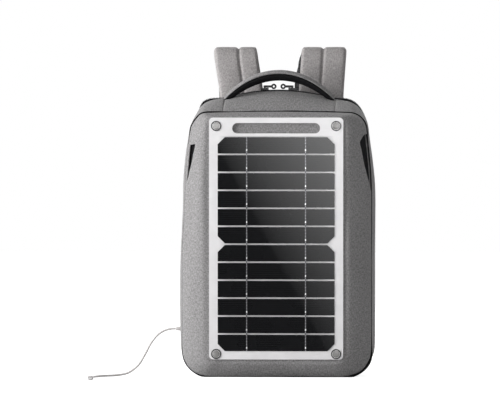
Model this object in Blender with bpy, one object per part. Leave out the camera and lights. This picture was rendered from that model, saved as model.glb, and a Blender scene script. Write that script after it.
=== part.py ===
"""Solar backpack: a padded bag with a zipped back flap, shoulder straps, a grab handle,
a snap-on solar panel with its regulator, and a charging lead. Metres, front towards -Y, base on z = 0."""

import math

import bmesh
import bpy
from mathutils import Matrix, Vector

# Clearances
SEAT = 0.0003
SEAM = 0.0005

# Bag, from the front face back to the rear face
FACE_Y = -0.070
FRONT_DEPTH = 0.030
GUSSET_DEPTH = 0.088
PARTING = 0.0024
FLAP_DEPTH = 0.0216
SEAM_Y = FACE_Y + FRONT_DEPTH
RIM_Y = SEAM_Y + GUSSET_DEPTH
FLAP_Y = RIM_Y + PARTING
BACK_Y = FLAP_Y + FLAP_DEPTH

# Outline of the zip rim, which the other outlines follow
BAG_HALF_WIDTH = 0.150
BAG_TOP = 0.447
ARCH_RADIUS = 0.300
ARCH_INSET = 0.066
ARCH_HALF = BAG_HALF_WIDTH - ARCH_INSET
SHOULDER_INSET = 0.015
SHOULDER_HALF_WIDTH = BAG_HALF_WIDTH - SHOULDER_INSET
SHOULDER_RADIUS = 0.052
WAIST_Z = 0.250
WAIST_RADIUS = 0.800
BASE_RADIUS = 0.038
BASE_LIP = 0.006

# Front seam and flat front face, as differences from the rim
FRONT_TAPER = 0.003
FRONT_DROP = 0.034
FRONT_ARCH_RADIUS = 3.0
FRONT_SHOULDER_OUT = 0.002
FRONT_SHOULDER_RADIUS = 0.028
FACE_SIDE_INSET = 0.030
FACE_TOP_INSET = 0.0065
FACE_BASE_INSET = 0.024
FACE_SHOULDER_RADIUS = 0.014
FACE_BASE_RADIUS = 0.016
FRONT_LIP = 0.004

# Fabric walls
FRONT_WALL = 0.005
GUSSET_WALL = 0.004
BASE_WALL = 0.0055
FLAP_WALL = 0.005
FLAP_EDGE_RADIUS = 0.020
TOP_SEAM_INSET = 0.058
TOP_SEAM_X = BAG_HALF_WIDTH - TOP_SEAM_INSET
FLAP_HINGE_BACK = 0.010

# Slanted side pockets, measured in from the widest half width
POCKET_TOP_Z = 0.378
POCKET_TOP_INSET = 0.0127
POCKET_CORNER_Z = 0.3666
POCKET_CORNER_INSET = 0.0198
POCKET_TIP_Z = 0.277

# Zip
TAPE_WIDTH = 0.0065
TAPE_THICKNESS = 0.0009
TAPE_END_Z = 0.060
SLIDER_X = 0.0215
SLIDER_LENGTH = 0.012
SLIDER_WIDTH = 0.011
SLIDER_PLATE = 0.0018
SLIDER_POST = 0.0014
SLIDER_POST_DEPTH = 0.003
SLIDER_POST_LENGTH = 0.004
PIN_RADIUS = 0.0008
PIN_HEIGHT = 0.0023
EAR_THICKNESS = 0.0011
PULL_EYE_RADIUS = 0.0017
PULL_EYE_WIDTH = 0.0032
PULL_LENGTH = 0.0178
PULL_THICKNESS = 0.0015
PULL_RING_RADIUS = 0.00325
PULL_RING_HOLE = 0.0019

# Grab handle
HANDLE_Y = 0.024
HANDLE_HALF_SPAN = 0.085
HANDLE_RISE = 0.037
HANDLE_HALF_WIDTH = 0.013
HANDLE_COVER = 0.008
HANDLE_LINING = 0.0095
HANDLE_KNUCKLE = 0.003
# Powers that shape the handle: how square its plan is, how its lining tapers and how its arch rises
HANDLE_SQUARE = 4
HANDLE_TAPER = 0.8
HANDLE_ARCH = 0.95
HANDLE_TWIST = 4

# Shoulder straps
STRAP_ROOT_X = 0.060
STRAP_SPREAD = 0.038
STRAP_FLARE = 0.0086
STRAP_FLARE_AT = 0.23
STRAP_DRAW = 0.002
STRAP_DRAW_AT = 0.44
STRAP_ROOT_Z = 0.418
STRAP_HINGE_RISE = 0.010
STRAP_TOP = 0.514
STRAP_BEND_RADIUS = 0.022
STRAP_HALF_WIDTH = 0.0335
STRAP_END_HALF_WIDTH = 0.023
STRAP_THICKNESS = 0.011
STRAP_END_Z = 0.180
STRAP_END_LEAN = 0.012
STRAP_TAPER_FROM = 0.6
# Shares of the half thickness at the sewn channel, and of the half width at the lining's edge and flat
STRAP_CHANNEL = 0.25
STRAP_LINING_EDGE = (0.97, 0.8)
KNUCKLE_ANGLES = (math.radians(60), math.radians(30))
LOCK_WIDTH = 0.036
LOCK_LENGTH = 0.028
LOCK_THICKNESS = 0.004
LOCK_BAR = 0.0042
WEB_WIDTH = 0.025
WEB_THICKNESS = 0.0016
WEB_LAP = 0.020
WING_INSET = 0.046
WING_X = BAG_HALF_WIDTH - WING_INSET
WING_WIDTH = 0.044
WING_BASE_Z = 0.034
WING_HEIGHT = 0.032
WING_THICKNESS = 0.002

# Back pads
PAD_X = 0.058
PAD_WIDTH = 0.088
PAD_BASE_Z = 0.092
PAD_HEIGHT = 0.300
PAD_THICKNESS = 0.010
PAD_RADIUS = 0.022
PAD_DRAW = 0.003

# Solar panel
PANEL_WIDTH = 0.208
PANEL_BASE_Z = 0.029
PANEL_HEIGHT = 0.375
PANEL_THICKNESS = 0.0025
PANEL_RADIUS = 0.006
PANEL_STANDOFF = 0.0018
SLOT_WIDTH = 0.136
SLOT_HEIGHT = 0.016
SLOT_TOP_MARGIN = 0.0085
CELL_COUNT = 12
CELL_GROUPS = 2
CELL_WIDTH = 0.181
CELL_PITCH = 0.02785
CELL_GAP = 0.0025
CELL_BASE_MARGIN = 0.013
CELL_CHAMFER = 0.011
CELL_THICKNESS = 0.0005
RIBBON_X = 0.0456
RIBBON_WIDTH = 0.0016
RIBBON_THICKNESS = 0.00025

# Snap fasteners at the panel's corners
SNAP_SIDE_MARGIN = 0.011
SNAP_TOP_MARGIN = 0.013
SNAP_BASE_MARGIN = 0.0085
SNAP_BORE_RADIUS = 0.0054
EYELET_WALL = 0.0008
EYELET_FLANGE = 0.0017
EYELET_THICKNESS = 0.0008
STUD_SHANK_RADIUS = 0.003
STUD_WASHER_RADIUS = 0.006
STUD_WASHER = 0.0012
STUD_DOME = 0.0008

# Regulator behind the panel
REG_X = -0.040
REG_Z = 0.090
REG_WIDTH = 0.058
REG_HEIGHT = 0.034
REG_DEPTH = 0.0160
REG_WALL = 0.0016
REG_RADIUS = 0.004
WINDOW_CLEARANCE = 0.0015
BOARD_THICKNESS = 0.0016
SOCKET_WIDTH = 0.0146
SOCKET_HEIGHT = 0.0070
SOCKET_WALL = 0.0008
SOCKET_PROUD = 0.0010
PLUG_TONGUE = 0.0100
PLUG_GRIP_WIDTH = 0.0160
PLUG_GRIP_HEIGHT = 0.0085
PLUG_GRIP_LENGTH = 0.020

# Leads
LEAD_RADIUS = 0.00175
GLAND_Y = 0.0
GLAND_Z = 0.0735
GLAND_FLANGE_RADIUS = 0.007
GLAND_FLANGE = 0.0018
GLAND_SHANK_RADIUS = 0.0036
GLAND_NOSE = 0.008
GLAND_NOSE_RADIUS = 0.0027
END_PLUG_WIDTH = 0.009
END_PLUG_LENGTH = 0.014
END_PLUG_HEIGHT = 0.0062
END_TIP_WIDTH = 0.0066
END_TIP_LENGTH = 0.0065
END_TIP_HEIGHT = 0.0020
LEAD_SPACING = 0.006
# The charging lead droops from the gland on the left side and lies on the floor
LEAD_ROUTE = [
    (-0.1725, 0.000, 0.0720),
    (-0.1860, -0.002, 0.0650),
    (-0.1970, -0.005, 0.0520),
    (-0.2060, -0.009, 0.0350),
    (-0.2170, -0.015, 0.0170),
    (-0.2320, -0.023, 0.0055),
    (-0.2490, -0.033, 0.0022),
    (-0.2660, -0.047, 0.0020),
    (-0.2785, -0.065, 0.0020),
    (-0.2840, -0.086, 0.0020),
    (-0.2850, -0.107, 0.0020),
    (-0.2850, -0.127, 0.0020),
]

# Round facets
ARC_STEPS = 6
ROUND_SIDES = 16

MATERIALS = {
    "fabric_grey": ((0.235, 0.228, 0.228), 0.9, 0.0),
    "fabric_black": ((0.012, 0.012, 0.013), 0.85, 0.0),
    "mesh_black": ((0.016, 0.016, 0.017), 0.95, 0.0),
    "panel_white": ((0.760, 0.765, 0.775), 0.35, 0.0),
    "cell_dark": ((0.012, 0.014, 0.022), 0.22, 0.0),
    "ribbon_silver": ((0.620, 0.620, 0.630), 0.30, 1.0),
    "eyelet_dark": ((0.090, 0.090, 0.095), 0.35, 1.0),
    "stud_grey": ((0.300, 0.295, 0.290), 0.45, 0.6),
    "gunmetal": ((0.060, 0.060, 0.064), 0.30, 1.0),
    "plastic_black": ((0.014, 0.014, 0.015), 0.45, 0.0),
    "plastic_white": ((0.800, 0.785, 0.780), 0.40, 0.0),
    "circuit_green": ((0.020, 0.110, 0.050), 0.50, 0.0),
    "steel": ((0.560, 0.560, 0.565), 0.28, 1.0),
}


def make_materials():
    made = {}
    for name, (colour, roughness, metallic) in MATERIALS.items():
        material = bpy.data.materials.new(name)
        material.use_nodes = True
        shader = material.node_tree.nodes["Principled BSDF"]
        shader.inputs["Base Color"].default_value = (*colour, 1.0)
        shader.inputs["Roughness"].default_value = roughness
        shader.inputs["Metallic"].default_value = metallic
        made[name] = material
    return made


def empty(name, location, parent=None):
    pivot = bpy.data.objects.new(name, None)
    pivot.empty_display_size = 0.02
    bpy.context.collection.objects.link(pivot)
    place(pivot, location, parent)
    return pivot


def place(obj, location, parent):
    """Puts an object's origin at a world location under its parent; no parent is turned or scaled."""
    obj.location = location
    if parent:
        obj.parent = parent
        obj.matrix_parent_inverse = Matrix.Translation(-world_place(parent))


def world_place(obj):
    """Location of an unturned object; each child undoes its parent's place, so it is its own."""
    return Vector(obj.location)


def add(name, bm, material, parent, origin=None, smooth=True):
    """Makes an object from world-space geometry, with its origin at its parent unless one is given."""
    origin = Vector(origin) if origin is not None else world_place(parent)
    bm.transform(Matrix.Translation(-origin))
    mesh = bpy.data.meshes.new(name)
    bm.to_mesh(mesh)
    bm.free()
    mesh.materials.append(MADE[material])
    if smooth:
        mesh.shade_smooth()
        mesh.set_sharp_from_angle(angle=math.radians(40))
    obj = bpy.data.objects.new(name, mesh)
    bpy.context.collection.objects.link(obj)
    place(obj, origin, parent)
    return obj


def tool(name, bm):
    """A cutter or a piece to be joined: a wire guide that isn't one of the sub-parts."""
    obj = add(name, bm, "plastic_black", None, origin=(0, 0, 0), smooth=False)
    obj.hide_render = True
    obj.display_type = "WIRE"
    return obj


def boolean(obj, other, operation):
    modifier = obj.modifiers.new(other.name, "BOOLEAN")
    modifier.operation = operation
    modifier.object = other


def solidify(obj, thickness):
    modifier = obj.modifiers.new("wall", "SOLIDIFY")
    modifier.thickness = thickness
    modifier.offset = -1
    modifier.use_even_offset = True


def lerp(a, b, t):
    return a + (b - a) * t


def smooth_step(t):
    return t * t * (3 - 2 * t)


# Shapes

ALL_CORNERS = ((1, 1), (1, -1), (-1, 1), (-1, -1))


def loft(rings, closed=True, cap_first=False, cap_last=False):
    """Faces between rings of points, with the faces outwards when each ring runs clockwise along the loft."""
    bm = bmesh.new()
    rows = [[bm.verts.new(point) for point in ring] for ring in rings]
    count = len(rows[0])
    for near, far in zip(rows, rows[1:]):
        for i in range(count if closed else count - 1):
            j = (i + 1) % count
            bm.faces.new((near[i], near[j], far[j], far[i]))
    if cap_first:
        bm.faces.new(reversed(rows[0]))
    if cap_last:
        bm.faces.new(rows[-1])
    return bm


def slab(width, depth, height, centre, radius=0.0, segments=4, corners=ALL_CORNERS):
    """A plate lying in XZ; the corners given by the signs of x and z are rounded, or cut with one segment."""
    bm = bmesh.new()
    bmesh.ops.create_cube(bm, size=1.0)
    bmesh.ops.scale(bm, vec=(width, depth, height), verts=bm.verts)
    if radius > 0:
        chosen = []
        for edge in bm.edges:
            middle = (edge.verts[0].co + edge.verts[1].co) / 2
            along_y = abs(edge.verts[0].co.y - edge.verts[1].co.y) > depth / 2
            if along_y and (math.copysign(1, middle.x), math.copysign(1, middle.z)) in corners:
                chosen.append(edge)
        bmesh.ops.bevel(bm, geom=chosen, offset=radius, segments=segments, profile=0.5, affect="EDGES")
    bmesh.ops.translate(bm, vec=centre, verts=bm.verts)
    return bm


def turned(profile, centre, axis, sides=ROUND_SIDES, ring=False):
    """Turns (radius, along) points about an axis; a ring's profile is a closed loop clear of the axis."""
    bm = bmesh.new()
    points = [bm.verts.new((radius, 0, along)) for radius, along in profile]
    edges = [bm.edges.new(pair) for pair in zip(points, points[1:])]
    if ring:
        edges.append(bm.edges.new((points[-1], points[0])))
    bmesh.ops.spin(
        bm, geom=points + edges, axis=(0, 0, 1), cent=(0, 0, 0), angle=math.tau, steps=sides, use_merge=True
    )
    bmesh.ops.remove_doubles(bm, verts=bm.verts, dist=1e-6)
    bmesh.ops.recalc_face_normals(bm, faces=bm.faces)
    turn = Vector((0, 0, 1)).rotation_difference(Vector(axis)).to_matrix().to_4x4()
    bm.transform(Matrix.Translation(centre) @ turn)
    return bm


def rod(radius, length, centre, axis, sides=ROUND_SIDES):
    half = length / 2
    return turned([(0, half), (radius, half), (radius, -half), (0, -half)], centre, axis, sides)


def fillet(before, corner, after, radius, steps):
    """Points of the arc that rounds a corner between two straight runs."""
    into = (corner - before).normalized()
    out = (after - corner).normalized()
    turn = into.angle(out)
    reach = radius * math.tan(turn / 2)
    start = corner - into * reach
    inward = (out - into).normalized()
    centre = corner + inward * (radius / math.cos(turn / 2))
    first = start - centre
    sweep = math.copysign(turn, into.x * out.y - into.y * out.x)
    points = []
    for i in range(steps + 1):
        points.append(centre + Matrix.Rotation(sweep * i / steps, 2) @ first)
    return points


# Outlines of the bag. Each is the right half, as (x, z) points from the top middle to the base.


def rim_outline(out=0.0, base=0.0):
    """The zip rim's outline, moved outwards by a distance; base is the height of its lowest run."""
    return {
        "half": BAG_HALF_WIDTH + out,
        "top": BAG_TOP + out,
        "arch": ARCH_RADIUS + out,
        "arch_half": ARCH_HALF * (ARCH_RADIUS + out) / ARCH_RADIUS,
        "shoulder": SHOULDER_HALF_WIDTH + out,
        "shoulder_radius": SHOULDER_RADIUS + out,
        "base": base - out,
        "base_radius": BASE_RADIUS + out - base,
    }


def seam_outline(out=0.0):
    return {
        "half": BAG_HALF_WIDTH - FRONT_TAPER + out,
        "top": BAG_TOP - FRONT_DROP + out,
        "arch": FRONT_ARCH_RADIUS + out,
        "arch_half": ARCH_HALF * (FRONT_ARCH_RADIUS + out) / FRONT_ARCH_RADIUS,
        "shoulder": SHOULDER_HALF_WIDTH + FRONT_SHOULDER_OUT + out,
        "shoulder_radius": FRONT_SHOULDER_RADIUS + out,
        "base": -out,
        "base_radius": BASE_RADIUS - FRONT_TAPER + out,
    }


def face_outline():
    seam = seam_outline()
    return {
        "half": seam["half"] - FACE_SIDE_INSET,
        "top": seam["top"] - FACE_TOP_INSET,
        "arch": FRONT_ARCH_RADIUS,
        "arch_half": ARCH_HALF,
        "shoulder": seam["shoulder"] - FACE_SIDE_INSET + FRONT_SHOULDER_OUT,
        "shoulder_radius": FACE_SHOULDER_RADIUS,
        "base": FACE_BASE_INSET,
        "base_radius": FACE_BASE_RADIUS,
    }


def top_height(outline, x):
    """Height of an outline's top at a distance from the middle, over the arch and its straight slopes."""
    arch, end = outline["arch"], outline["arch_half"]
    if abs(x) <= end:
        return outline["top"] - arch + math.sqrt(arch * arch - x * x)
    slope = end / math.sqrt(arch * arch - end * end)
    return top_height(outline, end) - (abs(x) - end) * slope


def arch_points(outline):
    end = math.asin(outline["arch_half"] / outline["arch"])
    angles = [end * i / ARC_STEPS for i in range(ARC_STEPS + 1)]
    centre = outline["top"] - outline["arch"]
    return [Vector((outline["arch"] * math.sin(a), centre + outline["arch"] * math.cos(a))) for a in angles]


def side_points(outline):
    """From the top of the shoulder down to the end of the flat lip at the base corner."""
    end = Vector((outline["arch_half"], top_height(outline, outline["arch_half"])))
    shoulder = Vector((outline["shoulder"], top_height(outline, outline["shoulder"])))
    waist = Vector((outline["half"], WAIST_Z))
    corner = Vector((outline["half"], outline["base"]))
    middle = Vector((0, outline["base"]))
    points = fillet(end, shoulder, waist, outline["shoulder_radius"], ARC_STEPS)
    points += fillet(shoulder, waist, corner, WAIST_RADIUS, 2)
    points += fillet(waist, corner, middle, outline["base_radius"], ARC_STEPS)
    points.append(points[-1] - Vector((BASE_LIP, 0)))
    return points


def seam_point(outline, x):
    return Vector((x, top_height(outline, x)))


def right_half(outline):
    return arch_points(outline) + side_points(outline)


def mirrored(points):
    return [Vector((-p.x, p.y)) for p in reversed(points)]


def whole(half):
    """Closed ring, clockwise from the front: down the right side and up the left."""
    return half + mirrored(half[1:])


def between(a, b, t):
    return [p.lerp(q, t) for p, q in zip(a, b)]


def at_depth(points, y):
    return [Vector((p.x, y, p.y)) for p in points]


def gusset_ring(run, y, out=0.0):
    """A run of outline points at a depth between the front seam and the rim, or the rim's own behind it."""
    t = min(1.0, (y - SEAM_Y) / GUSSET_DEPTH)
    return at_depth(between(run(seam_outline(out)), run(rim_outline(out)), t), y)


def gusset_height(x, y):
    t = (y - SEAM_Y) / GUSSET_DEPTH
    return lerp(top_height(seam_outline(), x), top_height(rim_outline(), x), t)


def gusset_half_width(y):
    return lerp(seam_outline()["half"], rim_outline()["half"], (y - SEAM_Y) / GUSSET_DEPTH)


def gusset_slope():
    return math.atan2(FRONT_DROP, GUSSET_DEPTH)


# Bag shell


def front_shell():
    """Open tray: a flat face with its edge rounded back to a straight lip at the seam."""
    face, seam = right_half(face_outline()), right_half(seam_outline())
    rings = []
    lip_y = SEAM_Y - SEAM - FRONT_LIP
    for i in range(ARC_STEPS + 1):
        angle = math.pi / 2 * (1 - i / ARC_STEPS)
        ring = between(seam, face, 1 - math.cos(angle))
        rings.append(at_depth(whole(ring), lerp(lip_y, FACE_Y, math.sin(angle))))
    rings.append(at_depth(whole(seam), SEAM_Y - SEAM))
    return loft(rings, cap_first=True)


def pocket_prism(side, margin):
    """Wedge through the rounded edge of the front, open to the side; margin widens it."""
    outer = BAG_HALF_WIDTH + FRONT_DEPTH
    top = (BAG_HALF_WIDTH - POCKET_TOP_INSET, POCKET_TOP_Z + margin)
    corner = (BAG_HALF_WIDTH - POCKET_CORNER_INSET - margin, POCKET_CORNER_Z)
    tip = (BAG_HALF_WIDTH, POCKET_TIP_Z - margin)
    outline = [top, (outer, top[1]), (outer, tip[1]), tip, corner]
    if side < 0:
        outline.reverse()
    depths = (FACE_Y - FRONT_DEPTH, SEAM_Y + FRONT_DEPTH)
    rings = [[Vector((side * x, y, z)) for x, z in outline] for y in depths]
    return loft(rings, cap_first=True, cap_last=True)


def snap_places():
    """Name, x and z of each corner snap."""
    x = PANEL_WIDTH / 2 - SNAP_SIDE_MARGIN
    top = PANEL_BASE_Z + PANEL_HEIGHT - SNAP_TOP_MARGIN
    base = PANEL_BASE_Z + SNAP_BASE_MARGIN
    return [
        ("top_left", -x, top),
        ("top_right", x, top),
        ("base_left", -x, base),
        ("base_right", x, base),
    ]


def build_front(bag):
    panel = add("front_panel", front_shell(), "fabric_grey", bag)
    solidify(panel, FRONT_WALL)
    for side, word in ((-1, "left"), (1, "right")):
        boolean(panel, tool(f"pocket_cut_{word}", pocket_prism(side, SEAT)), "DIFFERENCE")
        inset = add(f"pocket_inset_{word}", front_shell(), "fabric_black", bag)
        solidify(inset, FRONT_WALL)
        boolean(inset, tool(f"pocket_shape_{word}", pocket_prism(side, 0.0)), "INTERSECT")
    window = slab(
        REG_WIDTH + 2 * WINDOW_CLEARANCE,
        4 * FRONT_WALL,
        REG_HEIGHT + 2 * WINDOW_CLEARANCE,
        (REG_X, FACE_Y, REG_Z),
        REG_RADIUS + WINDOW_CLEARANCE,
    )
    boolean(panel, tool("regulator_window", window), "DIFFERENCE")
    for word, x, z in snap_places():
        hole = rod(STUD_SHANK_RADIUS + SEAT, 4 * FRONT_WALL, (x, FACE_Y, z), (0, 1, 0))
        boolean(panel, tool(f"stud_hole_{word}", hole), "DIFFERENCE")


def top_run(outline):
    half = arch_points(outline) + [seam_point(outline, TOP_SEAM_X - SEAM / 2)]
    return mirrored(half[1:]) + half


def side_run(outline):
    return [seam_point(outline, TOP_SEAM_X + SEAM / 2)] + side_points(outline)


def left_of(ring):
    return [Vector((-p.x, p.y, p.z)) for p in reversed(ring)]


def build_gussets(bag):
    depths = (SEAM_Y, (SEAM_Y + RIM_Y) / 2, RIM_Y)
    top = loft([gusset_ring(top_run, y) for y in depths], closed=False)
    solidify(add("top_gusset", top, "fabric_grey", bag), GUSSET_WALL)
    for side, word in ((-1, "left"), (1, "right")):
        rings = [gusset_ring(side_run, y) for y in depths]
        if side < 0:
            rings = [left_of(ring) for ring in rings]
        gusset = add(f"side_gusset_{word}", loft(rings, closed=False), "fabric_grey", bag)
        solidify(gusset, GUSSET_WALL)
        if side < 0:
            centre = (-BAG_HALF_WIDTH, GLAND_Y, GLAND_Z)
            hole = rod(GLAND_SHANK_RADIUS + SEAT, 8 * GUSSET_WALL, centre, (1, 0, 0))
            boolean(gusset, tool("gland_hole", hole), "DIFFERENCE")


def flap_hinge():
    return Vector((0, BACK_Y - FLAP_HINGE_BACK, BASE_WALL + SEAT))


def build_base(bag):
    half = BAG_HALF_WIDTH - BASE_RADIUS - BASE_LIP - SEAM
    depth = flap_hinge().y - SEAM_Y
    centre = (0, SEAM_Y + depth / 2, BASE_WALL / 2)
    add("base_panel", slab(2 * half, depth, BASE_WALL, centre), "fabric_black", bag, smooth=False)


# Back flap


def flap_base():
    return BASE_WALL + SEAT + SEAM


def build_flap(flap):
    rim = right_half(rim_outline(base=flap_base()))
    inner = right_half(rim_outline(out=-FLAP_EDGE_RADIUS, base=flap_base()))
    rings = [at_depth(whole(rim), FLAP_Y)]
    for i in range(ARC_STEPS + 1):
        angle = math.pi / 2 * i / ARC_STEPS
        ring = between(rim, inner, 1 - math.cos(angle))
        rings.append(at_depth(whole(ring), BACK_Y - FLAP_EDGE_RADIUS * (1 - math.sin(angle))))
    shell = add("back_flap", loft(rings, cap_last=True), "fabric_grey", flap)
    solidify(shell, FLAP_WALL)


def pad_ring(x, inset, y):
    """Round-cornered rectangle whose long sides draw in towards the middle."""
    half_width, half_height = PAD_WIDTH / 2 - inset, PAD_HEIGHT / 2 - inset
    radius = max(PAD_RADIUS - inset, PAD_DRAW)
    middle_z = PAD_BASE_Z + PAD_HEIGHT / 2
    corners = [
        Vector((half_width, half_height)),
        Vector((half_width - PAD_DRAW, 0)),
        Vector((half_width, -half_height)),
        Vector((-half_width, -half_height)),
        Vector((-half_width + PAD_DRAW, 0)),
        Vector((-half_width, half_height)),
    ]
    ring = []
    for i, corner in enumerate(corners):
        before, after = corners[i - 1], corners[(i + 1) % len(corners)]
        if corner.y == 0:
            ring.append(corner)
        else:
            ring += fillet(before, corner, after, radius, ARC_STEPS)
    return [Vector((x + p.x, y, middle_z + p.y)) for p in ring]


def build_pads(flap):
    seat_y = BACK_Y + SEAT
    for side, word in ((-1, "left"), (1, "right")):
        rings = []
        for i in range(ARC_STEPS):
            angle = math.pi / 2 * i / ARC_STEPS
            inset = PAD_RADIUS * (1 - math.cos(angle))
            rings.append(pad_ring(side * PAD_X, inset, seat_y + PAD_THICKNESS * math.sin(angle)))
        bm = loft(rings, cap_first=True, cap_last=True)
        bm.faces.ensure_lookup_table()
        crown = bmesh.ops.poke(bm, faces=[bm.faces[-1]])
        crown["verts"][0].co.y = seat_y + PAD_THICKNESS
        add(f"back_pad_{word}", bm, "mesh_black", flap)


# Zip


def tape_run(outline):
    """From low on the left side over the top to low on the right."""
    half = right_half(outline)
    lowest = [p for p in half if p.y > WAIST_Z / 2]
    half = lowest + [Vector((outline["half"], TAPE_END_Z))]
    return mirrored(half[1:]) + half


def build_tapes(bag, flap):
    out = SEAT + TAPE_THICKNESS
    spans = (
        ("zip_tape_front", RIM_Y - TAPE_WIDTH, RIM_Y, bag),
        ("zip_tape_rear", FLAP_Y, min(FLAP_Y + TAPE_WIDTH, BACK_Y), flap),
    )
    for name, first, last, parent in spans:
        strip = loft([gusset_ring(tape_run, y, out) for y in (first, last)], closed=False)
        solidify(add(name, strip, "fabric_black", parent), TAPE_THICKNESS)


def arch_centre():
    return Vector((0, (RIM_Y + FLAP_Y) / 2, BAG_TOP - ARCH_RADIUS))


def slider_frame(side):
    """Places a slider, built level at the middle of the arch, at its own angle along the arch."""
    turn = Matrix.Rotation(side * math.asin(SLIDER_X / ARCH_RADIUS), 4, "Y")
    centre = Matrix.Translation(arch_centre())
    return centre @ turn @ centre.inverted()


def slider_base():
    """Underside of a slider's plate, over the tape."""
    return BAG_TOP + 2 * SEAT + TAPE_THICKNESS


def pull_axis(side):
    height = slider_base() + SLIDER_PLATE + PIN_HEIGHT
    return slider_frame(side) @ Vector((0, arch_centre().y, height))


def build_slider(side, word, pivot):
    frame = slider_frame(side)
    y, z = arch_centre().y, slider_base()
    ear_y = (PULL_EYE_WIDTH + EAR_THICKNESS) / 2 + SEAT
    ear_height = PIN_HEIGHT + 2 * PIN_RADIUS
    plate = slab(SLIDER_LENGTH, SLIDER_WIDTH, SLIDER_PLATE, (0, y, z + SLIDER_PLATE / 2))
    overlap = SLIDER_PLATE / 2
    ears = []
    for sign in (-1, 1):
        centre = (0, y + sign * ear_y, z + SLIDER_PLATE + (ear_height - overlap) / 2)
        ears.append(slab(4 * PIN_RADIUS, EAR_THICKNESS, ear_height + overlap, centre))
    pin = rod(PIN_RADIUS, 2 * ear_y, (0, y, z + SLIDER_PLATE + PIN_HEIGHT), (0, 1, 0), 10)
    post_height = SLIDER_POST_DEPTH + overlap
    post = slab(SLIDER_POST_LENGTH, SLIDER_POST, post_height, (0, y, z + overlap - post_height / 2))
    for bm in (plate, pin, post, *ears):
        bm.transform(frame)
    slider = add(f"zip_slider_{word}", plate, "gunmetal", pivot, smooth=False)
    for name, bm in (("ear_front", ears[0]), ("ear_rear", ears[1]), ("pin", pin), ("post", post)):
        boolean(slider, tool(f"{name}_{word}", bm), "UNION")


def build_pull(side, word, pivot):
    """A flat tab that lies towards the middle, with an eye round the slider's pin and an upright end ring."""
    inward = Matrix.Translation(pull_axis(side)) @ Matrix.Rotation(-side * math.pi / 2 + math.pi / 2, 4, "Z")
    neck = PULL_LENGTH - PULL_RING_RADIUS
    eye = rod(PULL_EYE_RADIUS, PULL_EYE_WIDTH, (0, 0, 0), (0, 1, 0), 12)
    reach = neck - (PULL_RING_RADIUS + PULL_RING_HOLE) / 2
    tab = slab(reach, PULL_EYE_WIDTH, PULL_THICKNESS, (-reach / 2, 0, 0))
    ring = rod(PULL_RING_RADIUS, PULL_THICKNESS, (-neck, 0, 0), (0, 1, 0))
    pin_hole = rod(PIN_RADIUS + SEAT, 2 * PULL_EYE_WIDTH, (0, 0, 0), (0, 1, 0), 12)
    ring_hole = rod(PULL_RING_HOLE, 4 * PULL_THICKNESS, (-neck, 0, 0), (0, 1, 0), 12)
    for bm in (eye, tab, ring, pin_hole, ring_hole):
        bm.transform(inward)
    pull = add(f"zip_pull_{word}", tab, "gunmetal", pivot)
    boolean(pull, tool(f"pull_eye_{word}", eye), "UNION")
    boolean(pull, tool(f"pull_ring_{word}", ring), "UNION")
    boolean(pull, tool(f"pull_pin_hole_{word}", pin_hole), "DIFFERENCE")
    boolean(pull, tool(f"pull_ring_hole_{word}", ring_hole), "DIFFERENCE")


# Grab handle


def handle_axis():
    rise = (HANDLE_KNUCKLE + 2 * SEAT) / math.cos(gusset_slope())
    return Vector((0, HANDLE_Y, gusset_height(HANDLE_HALF_SPAN, HANDLE_Y) + rise))


def handle_ring(s, up):
    """Domed section at s from -1 to 1 along the span: the cover above its middle plane, the lining below."""
    swell = math.sqrt(max(0.0, 1 - s**HANDLE_SQUARE))
    rise = max(0.0, 1 - s * s)
    half = lerp(HANDLE_KNUCKLE, HANDLE_HALF_WIDTH, swell)
    thick = lerp(HANDLE_KNUCKLE, HANDLE_COVER, swell)
    if up < 0:
        thick = lerp(HANDLE_KNUCKLE, HANDLE_LINING, rise**HANDLE_TAPER)
    tilt = Matrix.Rotation(gusset_slope() * s**HANDLE_TWIST, 2)
    middle = Vector((HANDLE_Y, handle_axis().z + HANDLE_RISE * rise**HANDLE_ARCH))
    ring = []
    for i in range(ARC_STEPS + 1):
        angle = math.pi * i / ARC_STEPS
        point = Vector((half * math.cos(angle), up * (SEAT / 2 + thick * math.sin(angle))))
        ring.append(middle + tilt @ point)
    return [Vector((s * HANDLE_HALF_SPAN, p.x, p.y)) for p in ring]


def build_handle(pivot):
    steps = 4 * ARC_STEPS
    stations = [math.sin(math.pi * (i / steps - 0.5)) for i in range(steps + 1)]
    for name, up, material in (("handle_cover", 1, "fabric_grey"), ("handle_lining", -1, "fabric_black")):
        bm = loft([handle_ring(s, up) for s in stations], cap_first=True, cap_last=True)
        bmesh.ops.recalc_face_normals(bm, faces=bm.faces)
        add(name, bm, material, pivot)


# Shoulder straps


def strap_root(side):
    return Vector((side * STRAP_ROOT_X, BACK_Y + SEAT + STRAP_THICKNESS / 2, STRAP_ROOT_Z))


def strap_axis(side):
    """The line that a strap bends about, where the flap's edge starts to curve away from it."""
    return strap_root(side) + Vector((0, 0, STRAP_HINGE_RISE))


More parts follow.
